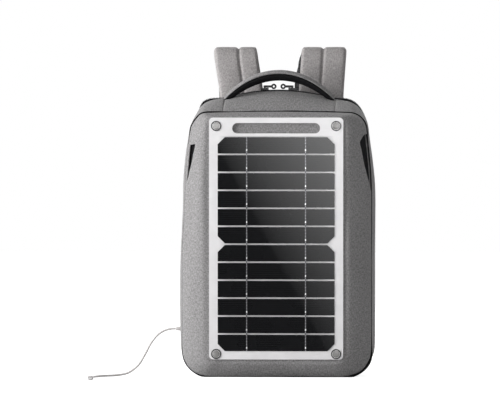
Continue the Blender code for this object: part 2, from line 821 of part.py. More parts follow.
def strap_centreline():
    """(y, z) points up from the root, over the bend and down behind the back, with their tangents."""
    root = strap_root(1)
    bend_z = STRAP_TOP - STRAP_THICKNESS / 2 - STRAP_BEND_RADIUS
    far_y = root.y + 2 * STRAP_BEND_RADIUS
    points = [Vector((root.y, lerp(root.z, bend_z, i / 3))) for i in range(3)]
    for i in range(2 * ARC_STEPS + 1):
        angle = math.pi * (1 - i / (2 * ARC_STEPS))
        centre = Vector((root.y + STRAP_BEND_RADIUS, bend_z))
        points.append(centre + STRAP_BEND_RADIUS * Vector((math.cos(angle), math.sin(angle))))
    for i in range(1, 2 * ARC_STEPS + 1):
        t = i / (2 * ARC_STEPS)
        points.append(Vector((far_y - STRAP_END_LEAN * smooth_step(t), lerp(bend_z, STRAP_END_Z, t))))
    tangents = []
    for i in range(len(points)):
        ahead, behind = points[min(i + 1, len(points) - 1)], points[max(i - 1, 0)]
        tangents.append((ahead - behind).normalized())
    tangents[0] = Vector((0, 1))
    return points, tangents


def strap_shift(fraction):
    """Distance outwards from the root: a strap flares over its bend, draws in behind it and spreads to its end."""
    stations = ((0.0, 0.0), (STRAP_FLARE_AT, STRAP_FLARE), (STRAP_DRAW_AT, STRAP_DRAW), (1.0, STRAP_SPREAD))
    for (start, low), (end, high) in zip(stations, stations[1:]):
        if fraction < end:
            return lerp(low, high, smooth_step((fraction - start) / (end - start)))
    return STRAP_SPREAD


def strap_section():
    """Two padded lobes with a sewn channel between them on the outside, and a flat lining inside."""
    outer = []
    for i in range(-4, 5):
        w = i / 4
        lobe = math.sqrt(max(0.0, 1 - (2 * abs(w) - 1) ** 2))
        outer.append(Vector((w, lerp(STRAP_CHANNEL, 1.0, lobe))))
    edge, flat = STRAP_LINING_EDGE
    inner = [Vector((edge, -0.5)), Vector((flat, -1)), Vector((-flat, -1)), Vector((-edge, -0.5))]
    return outer + inner


def strap_rings(side):
    points, tangents = strap_centreline()
    lengths = [0.0]
    for a, b in zip(points, points[1:]):
        lengths.append(lengths[-1] + (b - a).length)
    rings = []
    knuckle = STRAP_THICKNESS / 2
    stations = []
    for angle in KNUCKLE_ANGLES:
        below = points[0] - tangents[0] * knuckle * math.sin(angle)
        stations.append((below, tangents[0], 0.0, math.cos(angle)))
    stations += [(p, t, s / lengths[-1], 1.0) for p, t, s in zip(points, tangents, lengths)]
    for point, tangent, fraction, share in stations:
        taper = smooth_step(max(0.0, (fraction - STRAP_TAPER_FROM) / (1 - STRAP_TAPER_FROM)))
        half = lerp(STRAP_HALF_WIDTH, STRAP_END_HALF_WIDTH, taper)
        x = side * (STRAP_ROOT_X + strap_shift(fraction))
        outward = Vector((-tangent.y, tangent.x))
        ring = []
        for corner in strap_section():
            spot = point + outward * (corner.y * share * STRAP_THICKNESS / 2)
            ring.append(Vector((x + corner.x * half, spot.x, spot.y)))
        rings.append(ring)
    return rings


def strap_end(side):
    """Where a strap's pad ends, and the turn about X that points -Z along its last run."""
    points, tangents = strap_centreline()
    end = points[-1]
    turn = math.atan2(tangents[-1].x, -tangents[-1].y)
    return Vector((side * (STRAP_ROOT_X + STRAP_SPREAD), end.x, end.y)), turn


def lock_frame(side):
    end, turn = strap_end(side)
    return Matrix.Translation(end) @ Matrix.Rotation(turn, 4, "X")


def build_lock(side, word, pivot):
    """Ladder buckle: a flat frame with two slots between three bars."""
    centre = Vector((0, 0, -SEAT - LOCK_LENGTH / 2))
    slot_height = (LOCK_LENGTH - 3 * LOCK_BAR) / 2
    frame = slab(LOCK_WIDTH, LOCK_THICKNESS, LOCK_LENGTH, centre, LOCK_BAR / 2)
    frame.transform(lock_frame(side))
    lock = add(f"ladder_lock_{word}", frame, "plastic_black", pivot)
    for name, sign in (("upper", 1), ("lower", -1)):
        place_z = centre.z + sign * (slot_height + LOCK_BAR) / 2
        slot = slab(WEB_WIDTH + 2 * SEAT, 4 * LOCK_THICKNESS, slot_height, (0, 0, place_z))
        slot.transform(lock_frame(side))
        boolean(lock, tool(f"lock_slot_{name}_{word}", slot), "DIFFERENCE")


def web_seat_y():
    return BACK_Y + 2 * SEAT + WING_THICKNESS + WEB_THICKNESS / 2


def build_webbing(side, word, pivot):
    """Flat webbing from the ladder buckle down to its lap on the wing."""
    start = lock_frame(side) @ Vector((0, 0, -2 * SEAT - LOCK_LENGTH))
    leave = lock_frame(side).to_3x3() @ Vector((0, 0, -1))
    lap_top = Vector((side * WING_X, web_seat_y(), WING_BASE_Z + (WING_HEIGHT + WEB_LAP) / 2))
    reach = (start - lap_top).length / 2
    steps = 2 * ARC_STEPS
    points = []
    for i in range(steps + 1):
        t = i / steps
        a, b = start, start + leave * reach
        c, d = lap_top + Vector((0, 0, reach)), lap_top
        points.append(a * (1 - t) ** 3 + b * 3 * t * (1 - t) ** 2 + c * 3 * t * t * (1 - t) + d * t**3)
    points.append(lap_top - Vector((0, 0, WEB_LAP)))
    rings = []
    for i, point in enumerate(points):
        run = points[min(i + 1, len(points) - 1)] - points[max(i - 1, 0)]
        across = Vector((0, run.y, run.z)).normalized()
        outward = Vector((0, -across.z, across.y)) * WEB_THICKNESS / 2
        wide = Vector((WEB_WIDTH / 2, 0, 0))
        near, far = point - wide, point + wide
        rings.append([near + outward, far + outward, far - outward, near - outward])
    bm = loft(rings, cap_first=True, cap_last=True)
    bmesh.ops.recalc_face_normals(bm, faces=bm.faces)
    add(f"webbing_{word}", bm, "fabric_black", pivot)


def build_straps(flap):
    for side, word in ((-1, "left"), (1, "right")):
        pivot = empty(f"strap_pivot_{word}", strap_axis(side), flap)
        bm = loft(strap_rings(side), cap_first=True, cap_last=True)
        bmesh.ops.recalc_face_normals(bm, faces=bm.faces)
        add(f"strap_{word}", bm, "fabric_grey", pivot)
        build_lock(side, word, pivot)
        build_webbing(side, word, pivot)
        wing = slab(
            WING_WIDTH,
            WING_THICKNESS,
            WING_HEIGHT,
            (side * WING_X, BACK_Y + SEAT + WING_THICKNESS / 2, WING_BASE_Z + WING_HEIGHT / 2),
            WING_HEIGHT / 2,
            1,
            ((side, 1),),
        )
        add(f"strap_wing_{word}", wing, "fabric_grey", flap, smooth=False)


# Solar panel


def panel_rear():
    return FACE_Y - PANEL_STANDOFF


def panel_front():
    return panel_rear() - PANEL_THICKNESS


def panel_middle():
    return PANEL_BASE_Z + PANEL_HEIGHT / 2


def build_board(panel):
    centre_y = (panel_rear() + panel_front()) / 2
    board = add(
        "panel_board",
        slab(PANEL_WIDTH, PANEL_THICKNESS, PANEL_HEIGHT, (0, centre_y, panel_middle()), PANEL_RADIUS),
        "panel_white",
        panel,
    )
    slot_z = PANEL_BASE_Z + PANEL_HEIGHT - SLOT_TOP_MARGIN - SLOT_HEIGHT / 2
    slot_radius = SLOT_HEIGHT / 2 - SEAT
    slot = slab(SLOT_WIDTH, 4 * PANEL_THICKNESS, SLOT_HEIGHT, (0, centre_y, slot_z), slot_radius, ARC_STEPS)
    boolean(board, tool("panel_slot", slot), "DIFFERENCE")
    for word, x, z in snap_places():
        radius = SNAP_BORE_RADIUS + EYELET_WALL + SEAT
        hole = rod(radius, 4 * PANEL_THICKNESS, (x, centre_y, z), (0, 1, 0))
        boolean(board, tool(f"eyelet_hole_{word}", hole), "DIFFERENCE")


def cell_height():
    return CELL_PITCH - CELL_GAP


def build_cells(panel):
    """Strips in two groups; the end strips of each group have their outer corners cut."""
    group = CELL_COUNT // CELL_GROUPS
    base = PANEL_BASE_Z + CELL_BASE_MARGIN
    y = panel_front() - SEAT - CELL_THICKNESS / 2
    for i in range(CELL_COUNT):
        corners = []
        if i % group == 0:
            corners += [(-1, -1), (1, -1)]
        if i % group == group - 1:
            corners += [(-1, 1), (1, 1)]
        centre = (0, y, base + CELL_PITCH * i + cell_height() / 2)
        chamfer = CELL_CHAMFER if corners else 0
        bm = slab(CELL_WIDTH, CELL_THICKNESS, cell_height(), centre, chamfer, 1, corners)
        add(f"cell_{i + 1:02d}", bm, "cell_dark", panel, smooth=False)
    length = CELL_PITCH * CELL_COUNT - CELL_GAP
    ribbon_y = y - CELL_THICKNESS / 2 - SEAT - RIBBON_THICKNESS / 2
    for side, word in ((-1, "left"), (1, "right")):
        centre = (side * RIBBON_X, ribbon_y, base + length / 2)
        ribbon = slab(RIBBON_WIDTH, RIBBON_THICKNESS, length, centre)
        add(f"ribbon_{word}", ribbon, "ribbon_silver", panel, smooth=False)


def build_snaps(bag, panel):
    """Eyelets clamped through the panel's corners, over studs riveted through the bag's front."""
    bore, barrel = SNAP_BORE_RADIUS, SNAP_BORE_RADIUS + EYELET_WALL
    flange = barrel + EYELET_FLANGE
    front, rear = panel_front() - SEAT, panel_rear() + SEAT
    eyelet_profile = [
        (bore, front - EYELET_THICKNESS / 2),
        (barrel, front - EYELET_THICKNESS),
        (flange, front),
        (barrel, front),
        (barrel, rear),
        (flange, rear),
        (flange, rear + EYELET_THICKNESS),
        (bore, rear + EYELET_THICKNESS),
    ]
    post = bore - SEAT
    tip = front - EYELET_THICKNESS
    inside = FACE_Y + FRONT_WALL + SEAT
    stud_profile = [
        (0, tip - STUD_DOME),
        (post * math.cos(math.pi / 4), tip - STUD_DOME * math.sin(math.pi / 4)),
        (post, tip),
        (post, FACE_Y - SEAT),
        (STUD_SHANK_RADIUS, FACE_Y - SEAT),
        (STUD_SHANK_RADIUS, inside),
        (STUD_WASHER_RADIUS, inside),
        (STUD_WASHER_RADIUS, inside + STUD_WASHER),
        (0, inside + STUD_WASHER),
    ]
    for word, x, z in snap_places():
        axis = (0, 1, 0)
        add(f"eyelet_{word}", turned(eyelet_profile, (x, 0, z), axis, ring=True), "eyelet_dark", panel)
        add(f"snap_stud_{word}", turned(stud_profile, (x, 0, z), axis), "stud_grey", bag)


# Regulator and its plug


def reg_rear():
    return panel_rear() + SEAT + REG_DEPTH


def socket_span():
    """Front and rear of the socket's metal shell, from the circuit board to just past the case."""
    return panel_rear() + 3 * SEAT + BOARD_THICKNESS, reg_rear() + SOCKET_PROUD


def build_regulator(panel):
    front = panel_rear() + SEAT
    centre = Vector((REG_X, (front + reg_rear()) / 2, REG_Z))
    case = add(
        "regulator_case", slab(REG_WIDTH, REG_DEPTH, REG_HEIGHT, centre, REG_RADIUS), "plastic_black", panel
    )
    inner = slab(
        REG_WIDTH - 2 * REG_WALL,
        REG_DEPTH,
        REG_HEIGHT - 2 * REG_WALL,
        centre - Vector((0, REG_WALL, 0)),
        max(REG_RADIUS - REG_WALL, SEAT),
    )
    boolean(case, tool("regulator_inside", inner), "DIFFERENCE")
    mouth = slab(SOCKET_WIDTH + 2 * SEAT, 4 * REG_WALL, SOCKET_HEIGHT + 2 * SEAT, (REG_X, reg_rear(), REG_Z))
    boolean(case, tool("regulator_mouth", mouth), "DIFFERENCE")

    board_y = front + SEAT + BOARD_THICKNESS / 2
    trim = 2 * (REG_WALL + SEAT)
    inner_radius = max(REG_RADIUS - REG_WALL, SEAT)
    board = slab(REG_WIDTH - trim, BOARD_THICKNESS, REG_HEIGHT - trim, (REG_X, board_y, REG_Z), inner_radius)
    add("regulator_board", board, "circuit_green", panel)

    near, far = socket_span()
    middle = (near + far) / 2
    socket = slab(SOCKET_WIDTH, far - near, SOCKET_HEIGHT, (REG_X, middle, REG_Z))
    shell = add("usb_socket", socket, "steel", panel, smooth=False)
    width, height = SOCKET_WIDTH - 2 * SOCKET_WALL, SOCKET_HEIGHT - 2 * SOCKET_WALL
    hollow = slab(width, far - near, height, (REG_X, middle + SOCKET_WALL, REG_Z))
    boolean(shell, tool("socket_inside", hollow), "DIFFERENCE")


def plug_rear():
    return socket_span()[1] + SEAT + PLUG_GRIP_LENGTH


def build_plug(bag):
    """The panel's own plug: a metal tongue in the socket and a moulded grip behind it."""
    mouth = socket_span()[1]
    width = SOCKET_WIDTH - 2 * (SOCKET_WALL + SEAT)
    height = SOCKET_HEIGHT - 2 * (SOCKET_WALL + SEAT)
    length = PLUG_TONGUE + SEAT + PLUG_GRIP_LENGTH / 2
    tongue = slab(width, length, height, (REG_X, mouth - PLUG_TONGUE + length / 2, REG_Z))
    centre = (REG_X, mouth + SEAT + PLUG_GRIP_LENGTH / 2, REG_Z)
    grip = slab(PLUG_GRIP_WIDTH, PLUG_GRIP_LENGTH, PLUG_GRIP_HEIGHT, centre, PLUG_GRIP_HEIGHT / 4)
    plug = add("usb_plug", grip, "plastic_white", bag)
    boolean(plug, tool("plug_tongue", tongue), "UNION")


# Leads


def smooth_route(points):
    """Points at an even spacing along a smooth curve through the given ones."""
    points = [Vector(p) for p in points]
    ends = [points[0] * 2 - points[1]] + points + [points[-1] * 2 - points[-2]]
    fine = []
    for before, a, b, after in zip(ends, ends[1:], ends[2:], ends[3:]):
        count = max(1, round((b - a).length / LEAD_SPACING))
        for i in range(count):
            t = i / count
            slope_a, slope_b = (b - before) / 2, (after - a) / 2
            square, cube = t * t, t * t * t
            start = a * (2 * cube - 3 * square + 1) + slope_a * (cube - 2 * square + t)
            fine.append(start + b * (3 * square - 2 * cube) + slope_b * (cube - square))
    fine.append(points[-1])
    return fine


def build_tube(name, route, parent):
    points = smooth_route(route)
    curve = bpy.data.curves.new(name, "CURVE")
    curve.dimensions = "3D"
    curve.bevel_depth = LEAD_RADIUS
    curve.bevel_resolution = 2
    curve.use_fill_caps = True
    spline = curve.splines.new("POLY")
    spline.points.add(len(points) - 1)
    for spot, point in zip(spline.points, points):
        spot.co = (*(point - world_place(parent)), 1.0)
    curve.materials.append(MADE["plastic_white"])
    obj = bpy.data.objects.new(name, curve)
    bpy.context.collection.objects.link(obj)
    place(obj, world_place(parent), parent)


def gland_seats():
    """Inner faces of the gland's two flanges, just clear of the sloping wall between them."""
    outside = -gusset_half_width(GLAND_Y + GLAND_FLANGE_RADIUS) - SEAT
    inside = -gusset_half_width(GLAND_Y - GLAND_FLANGE_RADIUS) + GUSSET_WALL + SEAT
    return outside, inside


def gland_inner():
    return gland_seats()[1] + GLAND_FLANGE


def gland_outer():
    return gland_seats()[0] - GLAND_FLANGE


def build_gland(bag):
    """Flanged bush through the left side, with a tapered nose round the lead."""
    outside, inside = gland_seats()
    profile = [
        (0, gland_outer() - GLAND_NOSE),
        (GLAND_NOSE_RADIUS, gland_outer() - GLAND_NOSE),
        (GLAND_SHANK_RADIUS, gland_outer()),
        (GLAND_FLANGE_RADIUS, gland_outer()),
        (GLAND_FLANGE_RADIUS, outside),
        (GLAND_SHANK_RADIUS, outside),
        (GLAND_SHANK_RADIUS, inside),
        (GLAND_FLANGE_RADIUS, inside),
        (GLAND_FLANGE_RADIUS, gland_inner()),
        (0, gland_inner()),
    ]
    add("cable_gland", turned(profile, (0, GLAND_Y, GLAND_Z), (1, 0, 0)), "plastic_black", bag)


def build_leads(bag):
    nose = Vector((gland_outer() - GLAND_NOSE - 2 * SEAT, GLAND_Y, GLAND_Z))
    route = [nose] + [Vector(p) for p in LEAD_ROUTE if p[0] < nose.x - LEAD_RADIUS]
    build_tube("charge_lead", route, bag)

    end = route[-1]
    body_y = end.y - SEAT - END_PLUG_LENGTH / 2
    body_z = END_PLUG_HEIGHT / 2 + SEAT
    centre = (end.x, body_y, body_z)
    body = slab(END_PLUG_WIDTH, END_PLUG_LENGTH, END_PLUG_HEIGHT, centre, END_PLUG_HEIGHT / 4)
    add("lead_plug", body, "plastic_white", bag)
    tip_y = end.y - 2 * SEAT - END_PLUG_LENGTH - END_TIP_LENGTH / 2
    tip = slab(END_TIP_WIDTH, END_TIP_LENGTH, END_TIP_HEIGHT, (end.x, tip_y, body_z), END_TIP_HEIGHT / 2.5)
    add("lead_plug_tip", tip, "steel", bag)

    start = Vector((REG_X, plug_rear() + 2 * SEAT, REG_Z))
    stop = Vector((gland_inner() + 2 * SEAT, GLAND_Y, GLAND_Z))
    run = 6 * LEAD_RADIUS
    inner_route = [
        start,
        start + Vector((0, run, 0)),
        start + Vector((-2 * run, 2.5 * run, -run / 2)),
        start.lerp(stop, 0.55) + Vector((0, run, 0)),
        stop + Vector((run, 0, 0)),
        stop,
    ]
    build_tube("inner_lead", inner_route, bag)


for old in list(bpy.data.objects):
    bpy.data.objects.remove(old)
MADE = make_materials()

bag_root = empty("bag_root", (0, 0, 0))
flap_pivot = empty("flap_pivot", flap_hinge(), bag_root)
handle_pivot = empty("handle_pivot", handle_axis(), bag_root)
panel_origin = empty("panel_origin", (0, panel_rear(), panel_middle()), bag_root)

build_front(bag_root)
build_gussets(bag_root)
build_base(bag_root)
build_flap(flap_pivot)
build_pads(flap_pivot)
build_tapes(bag_root, flap_pivot)
build_handle(handle_pivot)
build_straps(flap_pivot)
for hand, hand_word in ((-1, "left"), (1, "right")):
    slider_pivot = empty(f"slider_pivot_{hand_word}", arch_centre(), bag_root)
    build_slider(hand, hand_word, slider_pivot)
    pull_pivot = empty(f"pull_pivot_{hand_word}", pull_axis(hand), slider_pivot)
    build_pull(hand, hand_word, pull_pivot)
build_board(panel_origin)
build_cells(panel_origin)
build_snaps(bag_root, panel_origin)
build_regulator(panel_origin)
build_plug(bag_root)
build_gland(bag_root)
build_leads(bag_root)
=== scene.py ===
# Solar backpack: fabric, panel and fittings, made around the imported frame
import math

import bmesh
import bpy
from mathutils import Matrix, Vector, noise


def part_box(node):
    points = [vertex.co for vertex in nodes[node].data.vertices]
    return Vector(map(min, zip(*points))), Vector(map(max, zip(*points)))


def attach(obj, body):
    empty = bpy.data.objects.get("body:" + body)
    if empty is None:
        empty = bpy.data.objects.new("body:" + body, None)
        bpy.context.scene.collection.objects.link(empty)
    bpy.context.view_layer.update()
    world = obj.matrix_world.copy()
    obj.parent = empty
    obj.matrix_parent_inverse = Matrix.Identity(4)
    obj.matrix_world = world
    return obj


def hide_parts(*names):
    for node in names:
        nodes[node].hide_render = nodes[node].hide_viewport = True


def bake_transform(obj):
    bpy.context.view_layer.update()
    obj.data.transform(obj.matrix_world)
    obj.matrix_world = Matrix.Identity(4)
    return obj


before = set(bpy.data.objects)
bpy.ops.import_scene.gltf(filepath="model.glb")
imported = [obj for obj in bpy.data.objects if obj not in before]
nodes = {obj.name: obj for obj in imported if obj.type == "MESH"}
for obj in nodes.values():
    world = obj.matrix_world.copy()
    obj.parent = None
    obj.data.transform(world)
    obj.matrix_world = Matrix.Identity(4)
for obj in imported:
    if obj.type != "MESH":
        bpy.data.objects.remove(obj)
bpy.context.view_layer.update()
scene = bpy.context.scene
scene.view_settings.view_transform = "Standard"
sides = ((-1, "left"), (1, "right"))
same = 1e-6  # places closer than this are one
print("frame loaded:", len(nodes), "solids")


# Camera, where the picture was taken from

shot = dict(
    size=(500, 416),
    metresPerPixel=0.00155,
    bagFoot=(276.2, 378.2),  # pixel of the bag's middle on the floor line
    planeY=-0.070,
    azimuth=2.0,
    elevation=1.4,
    distance=9.0,
    sensor=36,
)


def aimAt(thing, target, around, up, distance):
    # set off from a target, by degrees round from its front and up, and turned to it
    around, up = math.radians(around), math.radians(up)
    back = Vector((math.sin(around) * math.cos(up), -math.cos(around) * math.cos(up), math.sin(up)))
    thing.location = target + back * distance
    thing.rotation_euler = (-back).to_track_quat("-Z", "Y").to_euler()
    scene.collection.objects.link(thing)


def aimCamera():
    width, height = shot["size"]
    step = shot["metresPerPixel"]
    footX, footY = shot["bagFoot"]
    target = Vector(((width / 2 - footX) * step, shot["planeY"], (footY - height / 2) * step))
    data = bpy.data.cameras.new("camera")
    data.sensor_width = shot["sensor"]
    data.lens = data.sensor_width * shot["distance"] / (width * step)
    camera = bpy.data.objects.new("camera", data)
    aimAt(camera, target, shot["azimuth"], shot["elevation"], shot["distance"])
    scene.camera = camera


aimCamera()
print("camera aimed")


# Node helpers


def feed(tree, node, sockets):
    # links to sockets, and plain values
    for key, value in sockets.items():
        if isinstance(value, bpy.types.NodeSocket):
            tree.links.new(value, node.inputs[key])
        else:
            node.inputs[key].default_value = value


def addNode(tree, kind, sockets=None, **settings):
    node = tree.nodes.new("ShaderNode" + kind)
    for key, value in settings.items():
        setattr(node, key, value)
    feed(tree, node, sockets or {})
    return node


def sums(tree, operation, a, b=0.0):
    return addNode(tree, "Math", {0: a, 1: b}, operation=operation).outputs[0]


def offset(tree, value, middle):
    # how far a value is from its middle, either way
    return sums(tree, "ABSOLUTE", sums(tree, "SUBTRACT", value, middle))


def mixed(tree, share, a, b):
    return addNode(tree, "Mix", {0: share, 2: a, 3: b}).outputs[0]


def mixedColour(tree, share, a, b):
    return addNode(tree, "Mix", {0: share, 6: a, 7: b}, data_type="RGBA").outputs[2]


def ranged(tree, value, low, high, first=0.0, last=1.0):
    return addNode(tree, "MapRange", {0: value, 1: low, 2: high, 3: first, 4: last}).outputs[0]


def noised(tree, place, scale, detail=2.0):
    return addNode(tree, "TexNoise", {"Vector": place, "Scale": scale, "Detail": detail}).outputs[0]


def objectPlace(tree):
    return addNode(tree, "TexCoord").outputs["Object"]


def clothPlace(tree):
    return addNode(tree, "UVMap", uv_map="cloth").outputs[0]


def newGroup(name, inputs, outputs):
    group = bpy.data.node_groups.new(name, "ShaderNodeTree")
    for label, kind, value in inputs:
        socket = group.interface.new_socket(name=label, in_out="INPUT", socket_type="NodeSocket" + kind)
        if value is not None:
            socket.default_value = value
    for label, kind in outputs:
        group.interface.new_socket(name=label, in_out="OUTPUT", socket_type="NodeSocket" + kind)
    return group, group.nodes.new("NodeGroupInput"), group.nodes.new("NodeGroupOutput")


def wovenGroup():
    # plain weave of light and dark yarns, on a map in metres
    group, given, out = newGroup(
        "wovenYarns",
        [
            ("Map", "Vector", None),
            ("Threads", "Float", 1200.0),
            ("Streak", "Float", 0.5),
            ("Dark", "Color", (0.15, 0.15, 0.15, 1)),
            ("Light", "Color", (0.4, 0.4, 0.4, 1)),
        ],
        [("Colour", "Color"), ("Height", "Float")],
    )
    split = addNode(group, "SeparateXYZ", {0: given.outputs["Map"]})
    u = sums(group, "MULTIPLY", split.outputs[0], given.outputs["Threads"])
    v = sums(group, "MULTIPLY", split.outputs[1], given.outputs["Threads"])
    square = sums(group, "ADD", sums(group, "FLOOR", u), sums(group, "FLOOR", v))
    over = sums(group, "PINGPONG", square, 1.0)
    ridges = []
    for line in (u, v):
        wave = sums(group, "SINE", sums(group, "MULTIPLY", line, math.pi))
        ridges.append(sums(group, "ABSOLUTE", wave))
    # slubs along each of the two yarns, and a broader streak over both
    tones = []
    for along, across, shift in ((0.8, 0.14, 0.0), (0.14, 0.8, 7.0), (0.5, 0.22, 15.0)):
        drawn = {0: sums(group, "MULTIPLY", u, along), 1: sums(group, "MULTIPLY", v, across), 2: shift}
        tones.append(noised(group, addNode(group, "CombineXYZ", drawn).outputs[0], 1.0))
    yarn = mixed(group, over, tones[0], tones[1])
    tone = ranged(group, mixed(group, given.outputs["Streak"], yarn, tones[2]), 0.40, 0.60)
    height = mixed(group, over, ridges[0], ridges[1])
    colour = mixedColour(group, tone, given.outputs["Dark"], given.outputs["Light"])
    # painted shade: the colour is dimmed where the weave is low, between the yarns
    paintedYarnShade = ranged(group, height, 0.0, 0.7, 0.7, 1.0)  # darker between the yarns
    shaded = addNode(group, "HueSaturation", {"Color": colour, "Value": paintedYarnShade})
    feed(group, out, {"Colour": shaded.outputs[0], "Height": height})
    return group


def grainGroup():
    # cloudy tone, fine grain and hairline scuffs, on object coordinates
    group, given, out = newGroup(
        "grainAndScuffs",
        [
            ("Map", "Vector", None),
            ("Grain", "Float", 900.0),
            ("Dark", "Color", (0.1, 0.1, 0.1, 1)),
            ("Light", "Color", (0.2, 0.2, 0.2, 1)),
            ("Smooth", "Float", 0.3),
            ("Rough", "Float", 0.5),
        ],
        [("Colour", "Color"), ("Roughness", "Float"), ("Height", "Float")],
    )
    place = given.outputs["Map"]
    cloud = ranged(group, noised(group, place, 45.0, 3.0), 0.3, 0.7)
    grain = noised(group, place, given.outputs["Grain"])
    hairs = addNode(group, "Mapping", {"Vector": place, "Rotation": (0.4, 0.3, 0.9), "Scale": (60, 60, 2600)})
    scuff = ranged(group, noised(group, hairs.outputs[0], 1.0, 0.0), 0.68, 0.76)
    tone = sums(group, "MAXIMUM", cloud, scuff)
    both = sums(group, "ADD", sums(group, "MULTIPLY", grain, 0.6), sums(group, "MULTIPLY", cloud, 0.4))
    wear = ranged(group, both, 0.3, 0.7)
    feed(group, out, {
        "Colour": mixedColour(group, tone, given.outputs["Dark"], given.outputs["Light"]),
        "Roughness": mixed(group, wear, given.outputs["Smooth"], given.outputs["Rough"]),
        "Height": grain,
    })
    return group


weave = wovenGroup()
grainy = grainGroup()
finishes = {}
slotOf = {}


def startFinish(name, slot):
    material = bpy.data.materials.new(name)
    material.use_nodes = True
    finishes[name], slotOf[name] = material, slot
    tree = material.node_tree
    return tree, tree.nodes["Principled BSDF"]


def bumped(tree, height, strength, distance):
    return addNode(tree, "Bump", {"Height": height, "Strength": strength, "Distance": distance}).outputs[0]


def clothFinish(name, slot, dark, light, threads, streak, roughness, sheen, depth, gloss=0.2):
    tree, shader = startFinish(name, slot)
    given = {
        "Map": clothPlace(tree),
        "Threads": threads,
        "Streak": streak,
        "Dark": (*dark, 1),
        "Light": (*light, 1),
    }
    woven = addNode(tree, "Group", given, node_tree=weave)
    feed(tree, shader, {
        "Base Color": woven.outputs["Colour"],
        "Roughness": roughness,
        "Sheen Weight": sheen,
        "Sheen Roughness": 0.5,
        "Specular IOR Level": gloss,
        "Normal": bumped(tree, woven.outputs["Height"], 0.5, depth),
    })


def hardFinish(name, slot, dark, light, smooth, rough, metallic=0.0, grain=900.0, depth=0.00003):
    tree, shader = startFinish(name, slot)
    given = {
        "Map": objectPlace(tree),
        "Grain": grain,
        "Dark": (*dark, 1),
        "Light": (*light, 1),
        "Smooth": smooth,
        "Rough": rough,
    }
    surface = addNode(tree, "Group", given, node_tree=grainy)
    feed(tree, shader, {
        "Base Color": surface.outputs["Colour"],
        "Roughness": surface.outputs["Roughness"],
        "Metallic": metallic,
        "Normal": bumped(tree, surface.outputs["Height"], 0.4, depth),
    })


# what is printed, knitted or soldered, and the painted glint and painted shade on the panel, in counts per
# metre and in metres
marks = dict(
    meshHoles=330.0,
    cellFingers=345.0,
    ribbonDashes=1350.0,  # radians per metre
    stripFoot=0.0420,  # where the lowest cell strip starts
    stripPitch=0.02785,
    # where the ribbons' painted glint sits:
    glintAt=0.19,  # share of a strip's height
    boardMiddle=0.209,
    boardShade=0.36,
)


def spacerFinish():
    # knitted spacer mesh: rows of small open holes
    tree, shader = startFinish("spacerMesh", "mesh_black")
    place = clothPlace(tree)
    split = addNode(tree, "SeparateXYZ", {0: place})
    u, v = (sums(tree, "MULTIPLY", split.outputs[axis], marks["meshHoles"]) for axis in (0, 1))
    odd = sums(tree, "PINGPONG", sums(tree, "FLOOR", v), 1.0)
    shifted = sums(tree, "ADD", u, sums(tree, "MULTIPLY", odd, 0.5))
    squares = []
    for line in (shifted, v):
        away = sums(tree, "SUBTRACT", sums(tree, "FRACT", line), 0.5)
        squares.append(sums(tree, "MULTIPLY", away, away))
    rim = ranged(tree, sums(tree, "SQRT", sums(tree, "ADD", *squares)), 0.24, 0.36)
    yarn = mixedColour(tree, noised(tree, place, 900.0), (0.022, 0.022, 0.024, 1), (0.05, 0.05, 0.053, 1))
    feed(tree, shader, {
        "Base Color": mixedColour(tree, rim, (0.004, 0.004, 0.004, 1), yarn),
        "Roughness": 0.92,
        "Sheen Weight": 0.1,
        "Normal": bumped(tree, rim, 0.7, 0.0006),
    })


def cellFinish():
    # dark silicon under clear film: fine printed fingers and cloudy tone
    tree, shader = startFinish("cellDark", "cell_dark")
    place = objectPlace(tree)
    split = addNode(tree, "SeparateXYZ", {0: place})
    line = sums(tree, "FRACT", sums(tree, "MULTIPLY", split.outputs[2], marks["cellFingers"]))
    finger = ranged(tree, offset(tree, line, 0.5), 0.0, 0.05, 1.0, 0.0)
    cloud = noised(tree, place, 18.0, 3.0)
    silicon = mixedColour(tree, cloud, (0.0078, 0.0080, 0.0088, 1), (0.0108, 0.0111, 0.0122, 1))
    printed = sums(tree, "MULTIPLY", finger, 0.4)
    feed(tree, shader, {
        "Base Color": mixedColour(tree, printed, silicon, (0.040, 0.041, 0.045, 1)),
        "Roughness": 0.32,
        "Coat Weight": 1.0,
        "Coat Roughness": 0.025,
        "Specular IOR Level": 0.05,
        "Normal": bumped(tree, noised(tree, place, 60.0, 2.0), 0.02, 0.0004),
    })


def ribbonFinish():
    # tinned ribbon: faint lighter dashes along it, and a painted glint low on each strip
    tree, shader = startFinish("ribbonSilver", "ribbon_silver")
    place = objectPlace(tree)
    height = addNode(tree, "SeparateXYZ", {0: place}).outputs[2]
    strips = sums(tree, "DIVIDE", sums(tree, "SUBTRACT", height, marks["stripFoot"]), marks["stripPitch"])
    strip = sums(tree, "FRACT", strips)
    wave = sums(tree, "SINE", sums(tree, "MULTIPLY", height, marks["ribbonDashes"]))
    dash = sums(tree, "MULTIPLY", ranged(tree, wave, -0.2, 0.4), 0.14)
    # painted glint: a bright band low on each cell strip
    bright = ranged(tree, offset(tree, strip, marks["glintAt"]), 0.035, 0.06, 1.0, 0.0)
    tone = sums(tree, "MAXIMUM", dash, bright)
    feed(tree, shader, {
        "Base Color": mixedColour(tree, tone, (0.12, 0.12, 0.13, 1), (0.85, 0.85, 0.86, 1)),
        "Roughness": ranged(tree, noised(tree, place, 700.0), 0.3, 0.7, 0.35, 0.6),
        "Metallic": 0.6,
    })


